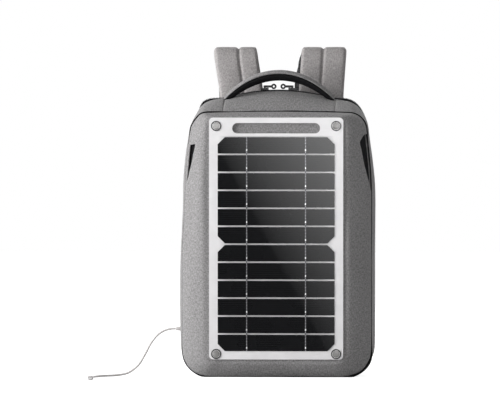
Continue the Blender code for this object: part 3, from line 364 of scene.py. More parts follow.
def shadeBoard():
    # painted shade: the board is a little greyer between the cells
    tree = finishes["laminateWhite"].node_tree
    shader = tree.nodes["Principled BSDF"]
    split = addNode(tree, "SeparateXYZ", {0: objectPlace(tree)})
    across = ranged(tree, sums(tree, "ABSOLUTE", split.outputs[0]), 0.072, 0.090, 1.0, 0.0)
    tall = ranged(tree, offset(tree, split.outputs[2], marks["boardMiddle"]), 0.166, 0.167, 1.0, 0.0)
    shade = sums(tree, "MULTIPLY", sums(tree, "MULTIPLY", across, tall), marks["boardShade"])
    given = shader.inputs["Base Color"].links[0].from_socket
    paintedShadeColour = addNode(tree, "HueSaturation", {"Color": given, "Value": sums(tree, "SUBTRACT", 1.0, shade)})
    feed(tree, shader, {"Base Color": paintedShadeColour.outputs[0]})


clothFinish(
    "heatherGrey", "fabric_grey", (0.190, 0.185, 0.187), (0.405, 0.397, 0.399),
    threads=1450.0, streak=0.35, roughness=0.88, sheen=0.10, depth=0.0002,
)
# the straps' cloth: heatherGrey a little warmer, and painted lighter as painted light, as if more light fell
# on the straps
clothFinish(
    "heatherPaintedLight", "fabric_grey", (0.290, 0.274, 0.274), (0.565, 0.538, 0.535),
    threads=1450.0, streak=0.35, roughness=0.88, sheen=0.12, depth=0.0002,
)
clothFinish(
    "nylonBlack", "fabric_black", (0.005, 0.005, 0.0055), (0.012, 0.012, 0.013),
    threads=1500.0, streak=0.3, roughness=0.8, sheen=0.0, depth=0.0002, gloss=0.04,
)
clothFinish(
    "tapeBlack", "fabric_black", (0.006, 0.006, 0.007), (0.020, 0.020, 0.022),
    threads=1000.0, streak=0.2, roughness=0.75, sheen=0.0, depth=0.0003, gloss=0.06,
)
clothFinish(
    "threadGrey", "fabric_grey", (0.16, 0.155, 0.155), (0.32, 0.31, 0.31),
    threads=3000.0, streak=0.5, roughness=0.7, sheen=0.1, depth=0.00005,
)
spacerFinish()
cellFinish()
ribbonFinish()
hardFinish(
    "laminateWhite", "panel_white", (0.80, 0.79, 0.80), (0.86, 0.85, 0.86),
    smooth=0.45, rough=0.6, grain=500.0, depth=0.00002,
)
shadeBoard()
hardFinish(
    "platedDark", "eyelet_dark", (0.003, 0.003, 0.0032), (0.011, 0.011, 0.012),
    smooth=0.4, rough=0.6, metallic=0.3,
)
hardFinish(
    "platedPale", "steel", (0.38, 0.375, 0.37), (0.62, 0.615, 0.61),
    smooth=0.35, rough=0.6, metallic=0.5, grain=1500.0, depth=0.0002,
)
hardFinish(
    "platedGrey", "stud_grey", (0.10, 0.098, 0.096), (0.36, 0.355, 0.35),
    smooth=0.4, rough=0.65, metallic=0.3, grain=900.0, depth=0.0008,
)
hardFinish(
    "gunmetal", "gunmetal", (0.005, 0.005, 0.0055), (0.018, 0.018, 0.019),
    smooth=0.35, rough=0.55, metallic=0.5,
)
hardFinish(
    "mouldedBlack", "plastic_black", (0.010, 0.010, 0.011), (0.022, 0.022, 0.023),
    smooth=0.38, rough=0.55, grain=1600.0,
)
hardFinish(
    "mouldedWhite", "plastic_white", (0.60, 0.575, 0.567), (0.67, 0.648, 0.64),
    smooth=0.35, rough=0.5, grain=1400.0,
)
hardFinish(
    "circuitGreen", "circuit_green", (0.012, 0.075, 0.032), (0.03, 0.16, 0.07),
    smooth=0.35, rough=0.55, grain=700.0,
)
hardFinish(
    "platedSteel", "steel", (0.45, 0.45, 0.455), (0.62, 0.62, 0.625),
    smooth=0.2, rough=0.4, metallic=1.0,
)
print("finishes ready:", len(finishes))


# Shape helpers


def lerp(a, b, t):
    return a + (b - a) * t


def smoothStep(t):
    t = max(0.0, min(1.0, t))
    return t * t * (3 - 2 * t)


def bell(value, middle, width):
    return math.exp(-(((value - middle) / width) ** 2))


def straight(a, b, count):
    return [a.lerp(b, (i + 1) / (count + 1)) for i in range(count)]


def roundCorner(before, corner, after, radius, steps):
    into, away = (corner - before).normalized(), (after - corner).normalized()
    turn = into.angle(away)
    start = corner - into * radius * math.tan(turn / 2)
    centre = corner + (away - into).normalized() * radius / math.cos(turn / 2)
    sweep = math.copysign(turn, into.x * away.y - into.y * away.x)
    return [centre + Matrix.Rotation(sweep * i / steps, 2) @ (start - centre) for i in range(steps + 1)]


def loftRings(rings, closed=True, capped=False):
    # one ring, extruded and set to each of the next
    bm = bmesh.new()
    row = [bm.verts.new(point) for point in rings[0]]
    pairs = list(zip(row, row[1:])) + ([(row[-1], row[0])] if closed else [])
    edges = [bm.edges.new(pair) for pair in pairs]
    first = list(edges)
    for ring in rings[1:]:
        grown = bmesh.ops.extrude_edge_only(bm, edges=edges)["geom"]
        fresh = {g for g in grown if isinstance(g, bmesh.types.BMVert)}
        edges = [g for g in grown if isinstance(g, bmesh.types.BMEdge) and set(g.verts) <= fresh]
        nextRow = []
        for vert, point in zip(row, ring):
            twin = next(e.other_vert(vert) for e in vert.link_edges if e.other_vert(vert) in fresh)
            twin.co = point
            nextRow.append(twin)
        row = nextRow
    if capped:
        bmesh.ops.edgeloop_fill(bm, edges=first)
        bmesh.ops.edgeloop_fill(bm, edges=edges)
    bmesh.ops.recalc_face_normals(bm, faces=bm.faces)
    return bm


def pointOut(bm, middle):
    # an open sheet's faces look away from a point inside the bag
    bmesh.ops.recalc_face_normals(bm, faces=bm.faces)
    looks = sum((f.calc_center_median() - middle).dot(f.normal) * f.calc_area() for f in bm.faces)
    if looks < 0:
        bmesh.ops.reverse_faces(bm, faces=bm.faces)


def turnedShape(profile, centre, axis, steps):
    # a closed profile of radius and height, spun round an axis
    bm = bmesh.new()
    points = [bm.verts.new((radius, 0, height)) for radius, height in profile]
    edges = [bm.edges.new(pair) for pair in zip(points, points[1:] + points[:1])]
    bmesh.ops.spin(
        bm, geom=points + edges, axis=(0, 0, 1), cent=(0, 0, 0), angle=math.tau, steps=steps, use_merge=True
    )
    bmesh.ops.remove_doubles(bm, verts=bm.verts, dist=same)
    bmesh.ops.recalc_face_normals(bm, faces=bm.faces)
    turn = Vector((0, 0, 1)).rotation_difference(Vector(axis)).to_matrix().to_4x4()
    bm.transform(Matrix.Translation(centre) @ turn)
    return bm


def roundWire(radius, wide, tall, steps):
    # profile of a ring of wire
    turns = [math.tau * i / steps for i in range(steps)]
    return [(radius + wide * math.cos(a), tall * math.sin(a)) for a in turns]


def softBlock(size, centre, bevel, segments=3):
    bm = bmesh.new()
    bmesh.ops.create_cube(bm, size=1.0)
    bmesh.ops.scale(bm, vec=size, verts=bm.verts)
    bmesh.ops.bevel(
        bm, geom=bm.edges, offset=bevel, segments=segments, profile=0.5, affect="EDGES", material=-1
    )
    bmesh.ops.translate(bm, vec=centre, verts=bm.verts)
    return bm


def mergedCopy(node):
    bm = bmesh.new()
    bm.from_mesh(node.data)
    bmesh.ops.remove_doubles(bm, verts=bm.verts, dist=same)
    return bm


def addShape(bm, other):
    spare = bpy.data.meshes.new("spare")
    other.to_mesh(spare)
    other.free()
    bm.from_mesh(spare)
    bpy.data.meshes.remove(spare)


def sliceFaces(bm, faces, spot, facing):
    edges = dict.fromkeys(e for f in faces for e in f.edges)
    verts = dict.fromkeys(v for f in faces for v in f.verts)
    geom = [*faces, *edges, *verts]
    bmesh.ops.bisect_plane(bm, geom=geom, dist=same, plane_co=spot, plane_no=facing)


def cutLines(bm, axis, places, inside):
    for place in places:
        spot, facing = Vector(), Vector()
        spot[axis], facing[axis] = place, 1
        sliceFaces(bm, [f for f in bm.faces if inside(f)], spot, facing)


def onPlane(y):
    return lambda item: all(abs(v.co.y - y) < same for v in item.verts)


def clothMap(mesh):
    # a map in metres, from the side that each face looks to; the top's yarns run long from front to back
    layer = mesh.uv_layers.new(name="cloth")
    for face in mesh.polygons:
        size = [abs(part) for part in face.normal]
        axes = ((1, 2), (0, 2), (0, 1))[size.index(max(size))]
        for index in face.loop_indices:
            place = mesh.vertices[mesh.loops[index].vertex_index].co
            layer.data[index].uv = (place[axes[0]], place[axes[1]] * (0.5 if axes == (0, 1) else 1.0))


def finishPiece(name, bm, body, finish, replaced=(), sharp=None):
    mesh = bpy.data.meshes.new(name)
    bm.to_mesh(mesh)
    bm.free()
    mesh.materials.append(finishes[finish])
    mesh.shade_smooth()
    if sharp:
        mesh.set_sharp_from_angle(angle=math.radians(sharp))
    clothMap(mesh)
    piece = bpy.data.objects.new(name, mesh)
    scene.collection.objects.link(piece)
    if body:
        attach(piece, body)
    if replaced:
        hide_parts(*replaced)
    return piece


def thicken(piece, wall):
    modifier = piece.modifiers.new("wall", "SOLIDIFY")
    modifier.thickness = wall
    modifier.offset = -1


def smoothen(piece, levels=1):
    modifier = piece.modifiers.new("smooth", "SUBSURF")
    modifier.levels = modifier.render_levels = levels


def bevelEdges(piece, width, segments):
    modifier = piece.modifiers.new("edges", "BEVEL")
    modifier.width, modifier.segments = width, segments
    modifier.limit_method, modifier.angle_limit = "ANGLE", math.radians(40)


def rumple(bm, amount, size, seed, hold=None, stretch=(1, 1, 1)):
    bm.normal_update()
    moves = []
    for vert in bm.verts:
        place = Vector((vert.co.x / stretch[0], vert.co.y / stretch[1], vert.co.z / stretch[2])) / size
        lift = noise.noise(place + Vector((seed, 2 * seed, 3 * seed)))
        lift += 0.5 * noise.noise(place * 2.3 + Vector((5 * seed, seed, seed)))
        moves.append(vert.normal * amount * lift * (hold(vert.co) if hold else 1.0))
    for vert, move in zip(bm.verts, moves):
        vert.co += move


def walk(points, spacing, closed=False):
    # places and directions at even steps along a run
    run = list(points) + ([points[0]] if closed else [])
    left = 0.0
    for a, b in zip(run, run[1:]):
        length = (b - a).length
        while length > 1e-9 and left <= length:
            yield a.lerp(b, left / length), (b - a).normalized()
            left += spacing
        left -= length


stitch = dict(spacing=0.0036, length=0.0027, width=0.00055)


def stitchRow(bm, points, outward, closed=False):
    # one small thread loop for each stitch; outward(place) is where the cloth faces
    size = Matrix.Diagonal((stitch["length"] / 2, stitch["width"] / 2, stitch["width"] / 2, 1))
    for place, along in walk(points, stitch["spacing"], closed):
        across = along.cross(outward(place)).normalized()
        face = across.cross(along).normalized()
        turn = Matrix((along, across, face)).transposed().to_4x4()
        loop = Matrix.Translation(place) @ turn @ size
        bmesh.ops.create_icosphere(bm, subdivisions=1, radius=1.0, matrix=loop)


swell = dict(frames=20, quality=5)


def inflate(piece, hold, pressure, cap):
    # cloth under air pressure; each point's move is capped and kept
    mesh = piece.data
    group = piece.vertex_groups.new(name="hold")
    for vert in mesh.vertices:
        group.add([vert.index], hold(vert.co), "REPLACE")
    cloth = piece.modifiers.new("swell", "CLOTH")
    cloth.settings.use_pressure = True
    cloth.settings.uniform_pressure_force = pressure
    cloth.settings.effector_weights.gravity = 0
    cloth.settings.vertex_group_mass = "hold"
    cloth.settings.quality = swell["quality"]
    cloth.collision_settings.use_collision = False
    cloth.point_cache.frame_end = swell["frames"]
    for number in range(1, swell["frames"] + 1):
        scene.frame_set(number)
    swollen = piece.evaluated_get(bpy.context.evaluated_depsgraph_get()).to_mesh()
    moves = [v.co - r.co for v, r in zip(swollen.vertices, mesh.vertices)]
    piece.modifiers.remove(cloth)
    piece.vertex_groups.remove(group)
    for vert, move in zip(mesh.vertices, moves):
        vert.co += move * min(1.0, cap / max(move.length, 1e-9))
    scene.frame_set(1)


# Charging lead, from the gland on the left side to its plug on the floor

lead = dict(
    radius=0.00175,
    route=[
        (-0.1593, 0.000, 0.0735),
        (-0.1725, 0.000, 0.0720),
        (-0.1860, -0.002, 0.0650),
        (-0.1970, -0.005, 0.0520),
        (-0.2060, -0.009, 0.0350),
        (-0.2170, -0.015, 0.0170),
        (-0.2320, -0.023, 0.0055),
        (-0.2490, -0.033, 0.0022),
        (-0.2660, -0.047, 0.0020),
        (-0.2785, -0.065, 0.0020),
        (-0.2840, -0.086, 0.0020),
        (-0.2850, -0.107, 0.0020),
        (-0.2850, -0.127, 0.0020),
    ],
    spacing=0.006,
)
plugBody = dict(
    # way from its back end, half width and half height of the strain relief
    relief=(
        (-0.009, 0.0019, 0.0019),
        (-0.0035, 0.0024, 0.0022),
        (0.0, 0.0034, 0.0026),
        (0.0016, 0.0043, 0.0030),
    ),
    # way from its back end, and how much narrower and lower than the solid the grip is
    grip=((0.004, 0.0, 0.0), (0.0115, 0.0, 0.0), (0.0136, 0.0004, 0.0003), (0.014, 0.0011, 0.0008)),
    corners=24,
    squareness=0.6,
    riseOver=0.003,
    ribs=3,
    ribFrom=0.0055,
    ribPitch=0.0021,
    ribSize=(0.0009, 0.0006),
)


def smoothRoute(points, spacing):
    points = [Vector(p) for p in points]
    run = [points[0]]
    for i in range(len(points) - 1):
        before, after = points[max(i - 1, 0)], points[min(i + 2, len(points) - 1)]
        a, b = points[i], points[i + 1]
        intoA, intoB = (b - before) / 2, (after - a) / 2
        steps = max(2, round((b - a).length / spacing))
        for k in range(1, steps + 1):
            t = k / steps
            run.append(
                a * (2 * t**3 - 3 * t**2 + 1)
                + intoA * (t**3 - 2 * t**2 + t)
                + b * (3 * t**2 - 2 * t**3)
                + intoB * (t**3 - t**2)
            )
    return run


def tubeAlong(name, points, radius, body, finish, closed=False, replaced=()):
    data = bpy.data.curves.new(name, "CURVE")
    data.dimensions = "3D"
    data.bevel_depth = radius
    data.bevel_resolution = 4
    data.use_fill_caps = True
    spline = data.splines.new("POLY")
    spline.points.add(len(points) - 1)
    for spot, point in zip(spline.points, points):
        spot.co = (*point, 1)
    spline.use_cyclic_u = closed
    data.materials.append(finishes[finish])
    tube = bpy.data.objects.new(name, data)
    scene.collection.objects.link(tube)
    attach(tube, body)
    if replaced:
        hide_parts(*replaced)
    return tube


def plugRing(low, high, along, wide, tall):
    # rounded square, lifted from the cord's height to the plug's
    middle = (low + high) / 2
    cordZ = lead["route"][-1][2]
    lift = lerp(cordZ, middle.z, smoothStep(along / plugBody["riseOver"]))
    ring = []
    for i in range(plugBody["corners"]):
        a = math.tau * i / plugBody["corners"]
        c, s = (math.copysign(abs(way) ** plugBody["squareness"], way) for way in (math.cos(a), math.sin(a)))
        ring.append(Vector((middle.x + wide * c, high.y - along, max(low.z, lift + tall * s))))
    return ring


def makeLead():
    run = smoothRoute(lead["route"], lead["spacing"])
    cord = tubeAlong("chargeLead", run, lead["radius"], "bag", "mouldedWhite", replaced=("charge_lead",))
    low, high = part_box("lead_plug")
    middle, half = (low + high) / 2, (high - low) / 2
    sections = list(plugBody["relief"])
    sections += [(along, half.x - narrower, half.z - lower) for along, narrower, lower in plugBody["grip"]]
    bm = loftRings([plugRing(low, high, *section) for section in sections], capped=True)
    thick, proud = plugBody["ribSize"]
    for k in range(plugBody["ribs"]):  # on both flats
        for face in (-1, 1):
            y = high.y - plugBody["ribFrom"] - plugBody["ribPitch"] * k
            place = (middle.x, y, middle.z + face * half.z)
            addShape(bm, softBlock((half.x * 1.1, thick, proud), place, 0.00025, 2))
    plug = finishPiece("leadPlug", bm, "bag", "mouldedWhite", ("lead_plug",), sharp=50)
    low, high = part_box("lead_plug_tip")
    bm = softBlock(high - low, (low + high) / 2, 0.0006)
    tip = finishPiece("leadPlugTip", bm, "bag", "platedSteel", ("lead_plug_tip",), sharp=40)


makeLead()
print("lead laid")


# Bag shell

bag = dict(
    faceY=-0.070,
    seamY=-0.040,
    rimY=0.048,
    flapY=0.0504,
    backY=0.072,
    topSeam=0.0865,
    waist=0.310,
    waistRound=0.5,
    lip=0.006,  # the sides go on this far under the base
    shoulder=(0.118, 0.36),  # where the back's shoulders are, and how high they start
    shoulderOut=0.003,
    leftIn=0.0044,
    shoulderIn=0.003,
)
outlines = dict(
    rim=dict(
        half=0.150, top=0.447, arch=0.300, archHalf=0.084,
        shoulder=0.131, shoulderRound=0.052, base=0.0, baseRound=0.046,
    ),
    seam=dict(
        half=0.147, top=0.413, arch=3.0, archHalf=0.084,
        shoulder=0.137, shoulderRound=0.028, base=0.0, baseRound=0.043,
    ),
    face=dict(
        half=0.1125, top=0.4065, arch=3.0, archHalf=0.084,
        shoulder=0.1095, shoulderRound=0.014, base=0.022, baseRound=0.016,
    ),
    flap=dict(
        half=0.150, top=0.447, arch=0.300, archHalf=0.084,
        shoulder=0.131, shoulderRound=0.052, base=0.0063, baseRound=0.0397,
    ),
)
seamIndex = 13
bagHeart = Vector((0, 0, 0.21))


def topHeight(shape, x):
    arch, end = shape["arch"], shape["archHalf"]
    if x <= end:
        return shape["top"] - arch + math.sqrt(arch * arch - x * x)
    return topHeight(shape, end) - (x - end) * end / math.sqrt(arch * arch - end * end)


def atShoulder(p, width):
    x, z = bag["shoulder"]
    return bell(p.x, x, width) * smoothStep((p.y - z) / 0.03)


def halfOutline(name, out=0.0):
    # right half, top middle to base middle, as (x, z)
    shape = dict(outlines[name])
    for key in ("half", "top", "arch", "shoulder", "shoulderRound", "baseRound"):
        shape[key] += out
    shape["archHalf"] *= shape["arch"] / outlines[name]["arch"]
    shape["base"] -= min(out, 0.0)
    run = []
    for i in range(seamIndex):
        x = shape["archHalf"] * i / (seamIndex - 1)
        run.append(Vector((x, topHeight(shape, x))))
    seam = Vector((bag["topSeam"], topHeight(shape, bag["topSeam"])))
    shoulder = Vector((shape["shoulder"], topHeight(shape, shape["shoulder"])))
    waist = Vector((shape["half"], bag["waist"]))
    corner = Vector((shape["half"], shape["base"]))
    foot = Vector((0, shape["base"]))
    top = roundCorner(seam, shoulder, waist, shape["shoulderRound"], 10)
    side = roundCorner(shoulder, waist, corner, bag["waistRound"], 3)
    base = roundCorner(waist, corner, foot, shape["baseRound"], 8)
    lip = base[-1] - Vector((bag["lip"], 0))
    run += [seam] + top + straight(top[-1], side[0], 6) + side + straight(side[-1], base[0], 9) + base
    run += [lip] + straight(lip, foot, 6) + [foot]
    if name in ("rim", "flap"):
        heart = Vector((0.05, bag["shoulder"][1]))
        for p in run:
            p += (p - heart).normalized() * bag["shoulderOut"] * atShoulder(p, 0.020)
    return run


lipIndex = len(halfOutline("rim")) - 8


def leftIn(p):
    # the left side stands in a little above the waist, and more at the shoulder
    tall = smoothStep((p.y - 0.19) / 0.095) * smoothStep((0.445 - p.y) / 0.03)
    shoulder = bell(p.y, 0.405, 0.020) * smoothStep((p.x - 0.100) / 0.02)
    return bag["leftIn"] * tall * smoothStep((p.x - 0.115) / 0.02) + bag["shoulderIn"] * shoulder


def mirroredRun(run):
    return [Vector((leftIn(p) - p.x, p.y)) for p in reversed(run)]


def wholeRing(half):
    return half + mirroredRun(half[1:-1])


def atDepth(run, y):
    return [Vector((p.x, y, p.y)) for p in run]


def between(a, b, t):
    return [p.lerp(q, t) for p, q in zip(a, b)]


front = dict(
    gap=0.0005,  # from the gussets' seam
    lip=0.004,
    rings=8,
    wall=0.0025,
    windowMiddle=(-0.040, 0.090),
    windowSize=(0.061, 0.037),
    pockets=dict(
        left=((-0.1256, 0.3630), (-0.1395, 0.3046), (-0.1350, 0.3610)),
        right=((0.1373, 0.378), (0.1302, 0.3666), (0.150, 0.277), (0.175, 0.300), (0.175, 0.378)),
    ),  # corners of each slanted opening
    recess=0.0038,
    lap=0.004,  # of the pocket linings behind the cloth
    tuck=(0.0018, 0.006),  # of their seam edge, in and back behind the gusset
    liningWall=0.0008,
    grid=0.013,
    cut=0.7,  # how much the rounded edge is flattened
    puff=0.0025,  # how far the cloth stands forward round the panel
    folds=dict(amount=0.0024, size=0.045, seed=3.1, stretch=(1, 1, 2.2)),
)
plumpY = bag["faceY"] - front["puff"]


def frontRing(a):
    # ring of the rounded front edge: 0 at the seam, a right angle at the face
    t = a / (math.pi / 2)
    run = between(halfOutline("seam"), halfOutline("face"), lerp(1 - math.cos(a), t, front["cut"]))
    depth = lerp(math.sin(a), t, front["cut"])
    return atDepth(wholeRing(run), lerp(bag["seamY"] - front["gap"] - front["lip"], plumpY, depth))


def flatFill(bm, y, step, half, base, top):
    # the flat of a shell, cut into small squares
    flat = onPlane(y)
    bmesh.ops.edgeloop_fill(bm, edges=[e for e in bm.edges if e.is_boundary and flat(e)])
    for axis, low, high in ((0, -half, half), (2, base, top)):
        count = int((high - low) / step)
        cutLines(bm, axis, [low + (i + 0.5) * (high - low) / count for i in range(count)], flat)


def frontSheet():
    rings = [atDepth(wholeRing(halfOutline("seam")), bag["seamY"] - front["gap"])]
    rings += [frontRing(math.pi / 2 * i / front["rings"]) for i in range(front["rings"] + 1)]
    bm = loftRings(rings)
    face = outlines["face"]
    flatFill(bm, plumpY, front["grid"], face["half"], face["base"], face["top"])
    pointOut(bm, bagHeart)
    return bm


def pocketLines(word):
    # each side of a pocket opening, with the way out of it
    corners = [Vector((x, 0, z)) for x, z in front["pockets"][word]]
    heart = sum(corners, Vector()) / len(corners)
    lines = []
    for a, b in zip(corners, corners[1:] + corners[:1]):
        away = (b - a).cross(Vector((0, 1, 0))).normalized()
        lines.append((a, away if away.dot(a - heart) > 0 else -away))
    return lines


def inPocket(face, word, margin):
    place = face.calc_center_median()
    spot = Vector((place.x, 0, place.z))
    return all((spot - a).dot(away) < margin for a, away in pocketLines(word))


def cutPockets(bm, margin):
    for sign, word in sides:
        for a, away in pocketLines(word):
            places = [(f, f.calc_center_median()) for f in bm.faces]
            upper = [f for f, place in places if place.x * sign > 0.1 and place.z > 0.2]
            sliceFaces(bm, upper, a + away * margin, away)


def frontHold(place):
    # the cloth lies still at its seam and behind the panel
    fromSeam = smoothStep((bag["seamY"] - front["lip"] - place.y) / 0.010)
    behind = min(0.112 - abs(place.x), place.z - 0.020)
    return fromSeam * (1 - smoothStep(behind / 0.008))


def cutWindow(bm):
    # the way in for the panel's plug
    x, z = front["windowMiddle"]
    wide, tall = (size / 2 for size in front["windowSize"])
    flat = onPlane(plumpY)
    cutLines(bm, 0, (x - wide, x + wide), flat)
    cutLines(bm, 2, (z - tall, z + tall), flat)
    hole = []
    for f in bm.faces:
        spot = f.calc_center_median()
        if flat(f) and abs(spot.x - x) < wide and abs(spot.z - z) < tall:
            hole.append(f)
    bmesh.ops.delete(bm, geom=hole, context="FACES")


def makeFront():
    bm = frontSheet()
    cutWindow(bm)
    cutPockets(bm, 0.0)
    opened = [f for f in bm.faces if any(inPocket(f, word, 0.0) for _, word in sides)]
    bmesh.ops.delete(bm, geom=opened, context="FACES")
    low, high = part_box("panel_board")
    for vert in bm.verts:  # the cloth lies back behind the panel
        if abs(vert.co.y - plumpY) < same:
            inside = min(high.x - abs(vert.co.x), vert.co.z - low.z, high.z - vert.co.z)
            vert.co.y += front["puff"] * smoothStep((inside + 0.004) / 0.006)
    rumple(bm, hold=frontHold, **front["folds"])
    shell = finishPiece("frontShell", bm, "bag", "heatherGrey", ("front_panel",))
    thicken(shell, front["wall"])
    smoothen(shell)
    for sign, word in sides:
        makePocket(sign, word)


def makePocket(sign, word):
    # slanted lining, set back behind its opening
    bm = frontSheet()
    cutPockets(bm, front["lap"])
    outside = [f for f in bm.faces if not inPocket(f, word, front["lap"])]
    bmesh.ops.delete(bm, geom=outside, context="FACES")
    bm.normal_update()
    tuckIn, tuckBack = front["tuck"]
    for vert in bm.verts:
        atSeam = vert.co.y > bag["seamY"] - 2 * front["gap"]
        vert.co -= vert.normal * front["recess"]
        if atSeam:
            vert.co += Vector((-sign * tuckIn, tuckBack, 0))
    lining = finishPiece(f"pocketLining.{word}", bm, "bag", "nylonBlack", (f"pocket_inset_{word}",))
    thicken(lining, front["liningWall"])


makeFront()
print("front sewn")


gusset = dict(
    steps=10,
    crown=0.0035,
    tuck=0.0016,
    wall=0.0022,
    lean=dict(left=0.0045, middle=0.0033, right=0.0022),
    under=(0.12, 0.0002, 0.0011),  # how the top's edges go on under the sides
    topFolds=dict(amount=0.0009, size=0.05, seed=1.7),
    sideFolds=dict(amount=0.0016, size=0.06, stretch=(1, 1, 1.8)),
    sideSeed=4.3,
)


def gussetRun(t):
    # outline between the front seam and the zip rim, tucked in at both seams
    edge = min(t, 1 - t)
    out = gusset["crown"] * math.sin(math.pi * t) - gusset["tuck"] * (1 - smoothStep(edge / 0.1))
    return between(halfOutline("seam", out), halfOutline("rim", out), t), lerp(bag["seamY"], bag["rimY"], t)


def depthShare(y):
    return (y - bag["seamY"]) / (bag["rimY"] - bag["seamY"])


def leaned(run, y):
    # the top's two seams stand a little to the right, along the arch
    moved = []
    for p in run:
        x = p.x
        part = "middle" if abs(x) <= 0.06 else "left" if x < 0 else "right"
        high = smoothStep((0.122 - abs(x)) / 0.03) * smoothStep((p.y - 0.385) / 0.02)
        shift = gusset["lean"][part] * high
        seamSlope = x / outlines["seam"]["arch"]
        rimSlope = x / math.sqrt(outlines["rim"]["arch"] ** 2 - min(x * x, 0.02))
        moved.append(Vector((x + shift, p.y - shift * lerp(seamSlope, rimSlope, depthShare(y)))))
    return moved


def gussetHold(p):
    return smoothStep((p.y - bag["seamY"]) / 0.02) * smoothStep((bag["rimY"] - p.y) / 0.02)


def sideHold(p):
    return gussetHold(p) * smoothStep(p.z / 0.03)


def sewGusset(name, runs, node, hold, folds):
    bm = loftRings(runs, closed=False)
    pointOut(bm, bagHeart)
    rumple(bm, hold=hold, **folds)
    piece = finishPiece(name, bm, "bag", "heatherGrey", (node,))
    thicken(piece, gusset["wall"])
    smoothen(piece)


def makeGussets():
    stations = [0.0, 0.03] + [i / gusset["steps"] for i in range(1, gusset["steps"])] + [0.97, 1.0]
    rows = [gussetRun(t) for t in stations]
    share, aside, down = gusset["under"]
    runs = []
    for half, y in rows:
        under = half[seamIndex].lerp(half[seamIndex + 1], share) - Vector((aside, down))
        run = half[: seamIndex + 1] + [under]
        runs.append(atDepth(leaned(mirroredRun(run[1:]) + run, y), y))
    sewGusset("topGusset", runs, "top_gusset", gussetHold, gusset["topFolds"])
    for sign, word in sides:
        runs = []
        for half, y in rows:
            run = half[seamIndex : lipIndex + 1]
            runs.append(atDepth(leaned(run if sign > 0 else mirroredRun(run)[::-1], y), y))
        folds = dict(gusset["sideFolds"], seed=gusset["sideSeed"] + sign)
        sewGusset(f"sideGusset.{word}", runs, f"side_gusset_{word}", sideHold, folds)


def makeBase():
    low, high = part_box("base_panel")
    high.y = bag["rimY"] + 0.006
    bm = softBlock(high - low, (low + high) / 2, 0.0024, 4)
    for axis in (0, 1):
        places = [low[axis] + (high[axis] - low[axis]) * i / 12 for i in range(1, 12)]
        cutLines(bm, axis, places, lambda f: True)
    rumple(bm, 0.0004, 0.03, 6.1)
    for vert in bm.verts:
        vert.co.z = max(vert.co.z, 0.0)
    finishPiece("baseCloth", bm, "bag", "nylonBlack", ("base_panel",))


piping = dict(
    top=0.0015,
    shoulder=0.0007,
    # painted shade: the piping is thicker down the right and round the right foot, away from the key light
    side=dict(left=0.0004, right=0.0009),
    foot=dict(left=0.0010, right=0.0026),
    base=0.0013,
    forward=0.0065,
    behindSeam=0.0004,
    spacing=0.004,
    uneven=0.6,
    lumps=24,  # per metre
)


def pipingShadeRadius(p):
    # black piping in the seam, made fuller to stand in for painted shade in the seam's gap: full along the
    # top, thin down the sides, fuller round the corners, thicker on the right, away from the key light, and
    # uneven
    word = "left" if p.x < 0 else "right"
    shoulder = bell(p.z, 0.398, 0.022) * smoothStep((abs(p.x) - 0.07) / 0.03)
    foot = bell(p.z, 0.022, 0.018) * smoothStep((abs(p.x) - 0.10) / 0.02)
    upper = lerp(piping["side"][word], piping["top"], smoothStep((p.z - 0.36) / 0.03))
    edge = lerp(piping["base"], upper, smoothStep(p.z / 0.04))
    uneven = 1 + piping["uneven"] * noise.noise(Vector((p.x, 0.3, p.z)) * piping["lumps"])
    return (edge + piping["shoulder"] * shoulder + piping["foot"][word] * foot) * uneven


def makePiping():
    ring = atDepth(wholeRing(halfOutline("seam")), bag["seamY"] + piping["behindSeam"])
    places = [place for place, _ in walk(ring, piping["spacing"], closed=True)]
    # black piping that also stands in as painted shade in the seam's gap
    tube = tubeAlong("seamPipingShade", places, 1.0, "bag", "nylonBlack", closed=True)
    for spot in tube.data.splines[0].points:
        spot.radius = pipingShadeRadius(Vector(spot.co[:3]))
        low = 1 - smoothStep(spot.co.z / 0.012)
        spot.co.y -= piping["forward"] * low
        spot.co.z = max(spot.co.z, spot.radius + 0.0002)  # clear of the floor


makeGussets()
makeBase()
makePiping()
print("gussets sewn")


# Back flap, pads and straps

flap = dict(edge=0.020, rings=6, wall=0.003, grid=0.016)


def makeFlap():
    rim, inner = halfOutline("flap"), halfOutline("flap", -flap["edge"])
    rings = [atDepth(wholeRing(rim), bag["flapY"])]
    for i in range(flap["rings"] + 1):
        a = math.pi / 2 * i / flap["rings"]
        run = wholeRing(between(rim, inner, 1 - math.cos(a)))
        rings.append(atDepth(run, bag["backY"] - flap["edge"] * (1 - math.sin(a))))
    bm = loftRings(rings)
    shape, edge = outlines["flap"], flap["edge"]
    flatFill(bm, bag["backY"], flap["grid"], shape["half"] - edge, shape["base"] + edge, shape["top"] - edge)
    pointOut(bm, Vector((0, 0.03, 0.21)))
    piece = finishPiece("flapShell", bm, "back_flap", "heatherGrey", ("back_flap",))
    thicken(piece, flap["wall"])
    smoothen(piece)


padding = dict(
    voxel=0.004,
    shrink=0.0012,
    pressure=4.0,
    cap=0.004,
    channels=(0.152, 0.212, 0.272, 0.332),
    channelHalf=0.007,
    channelDepth=0.0035,
)


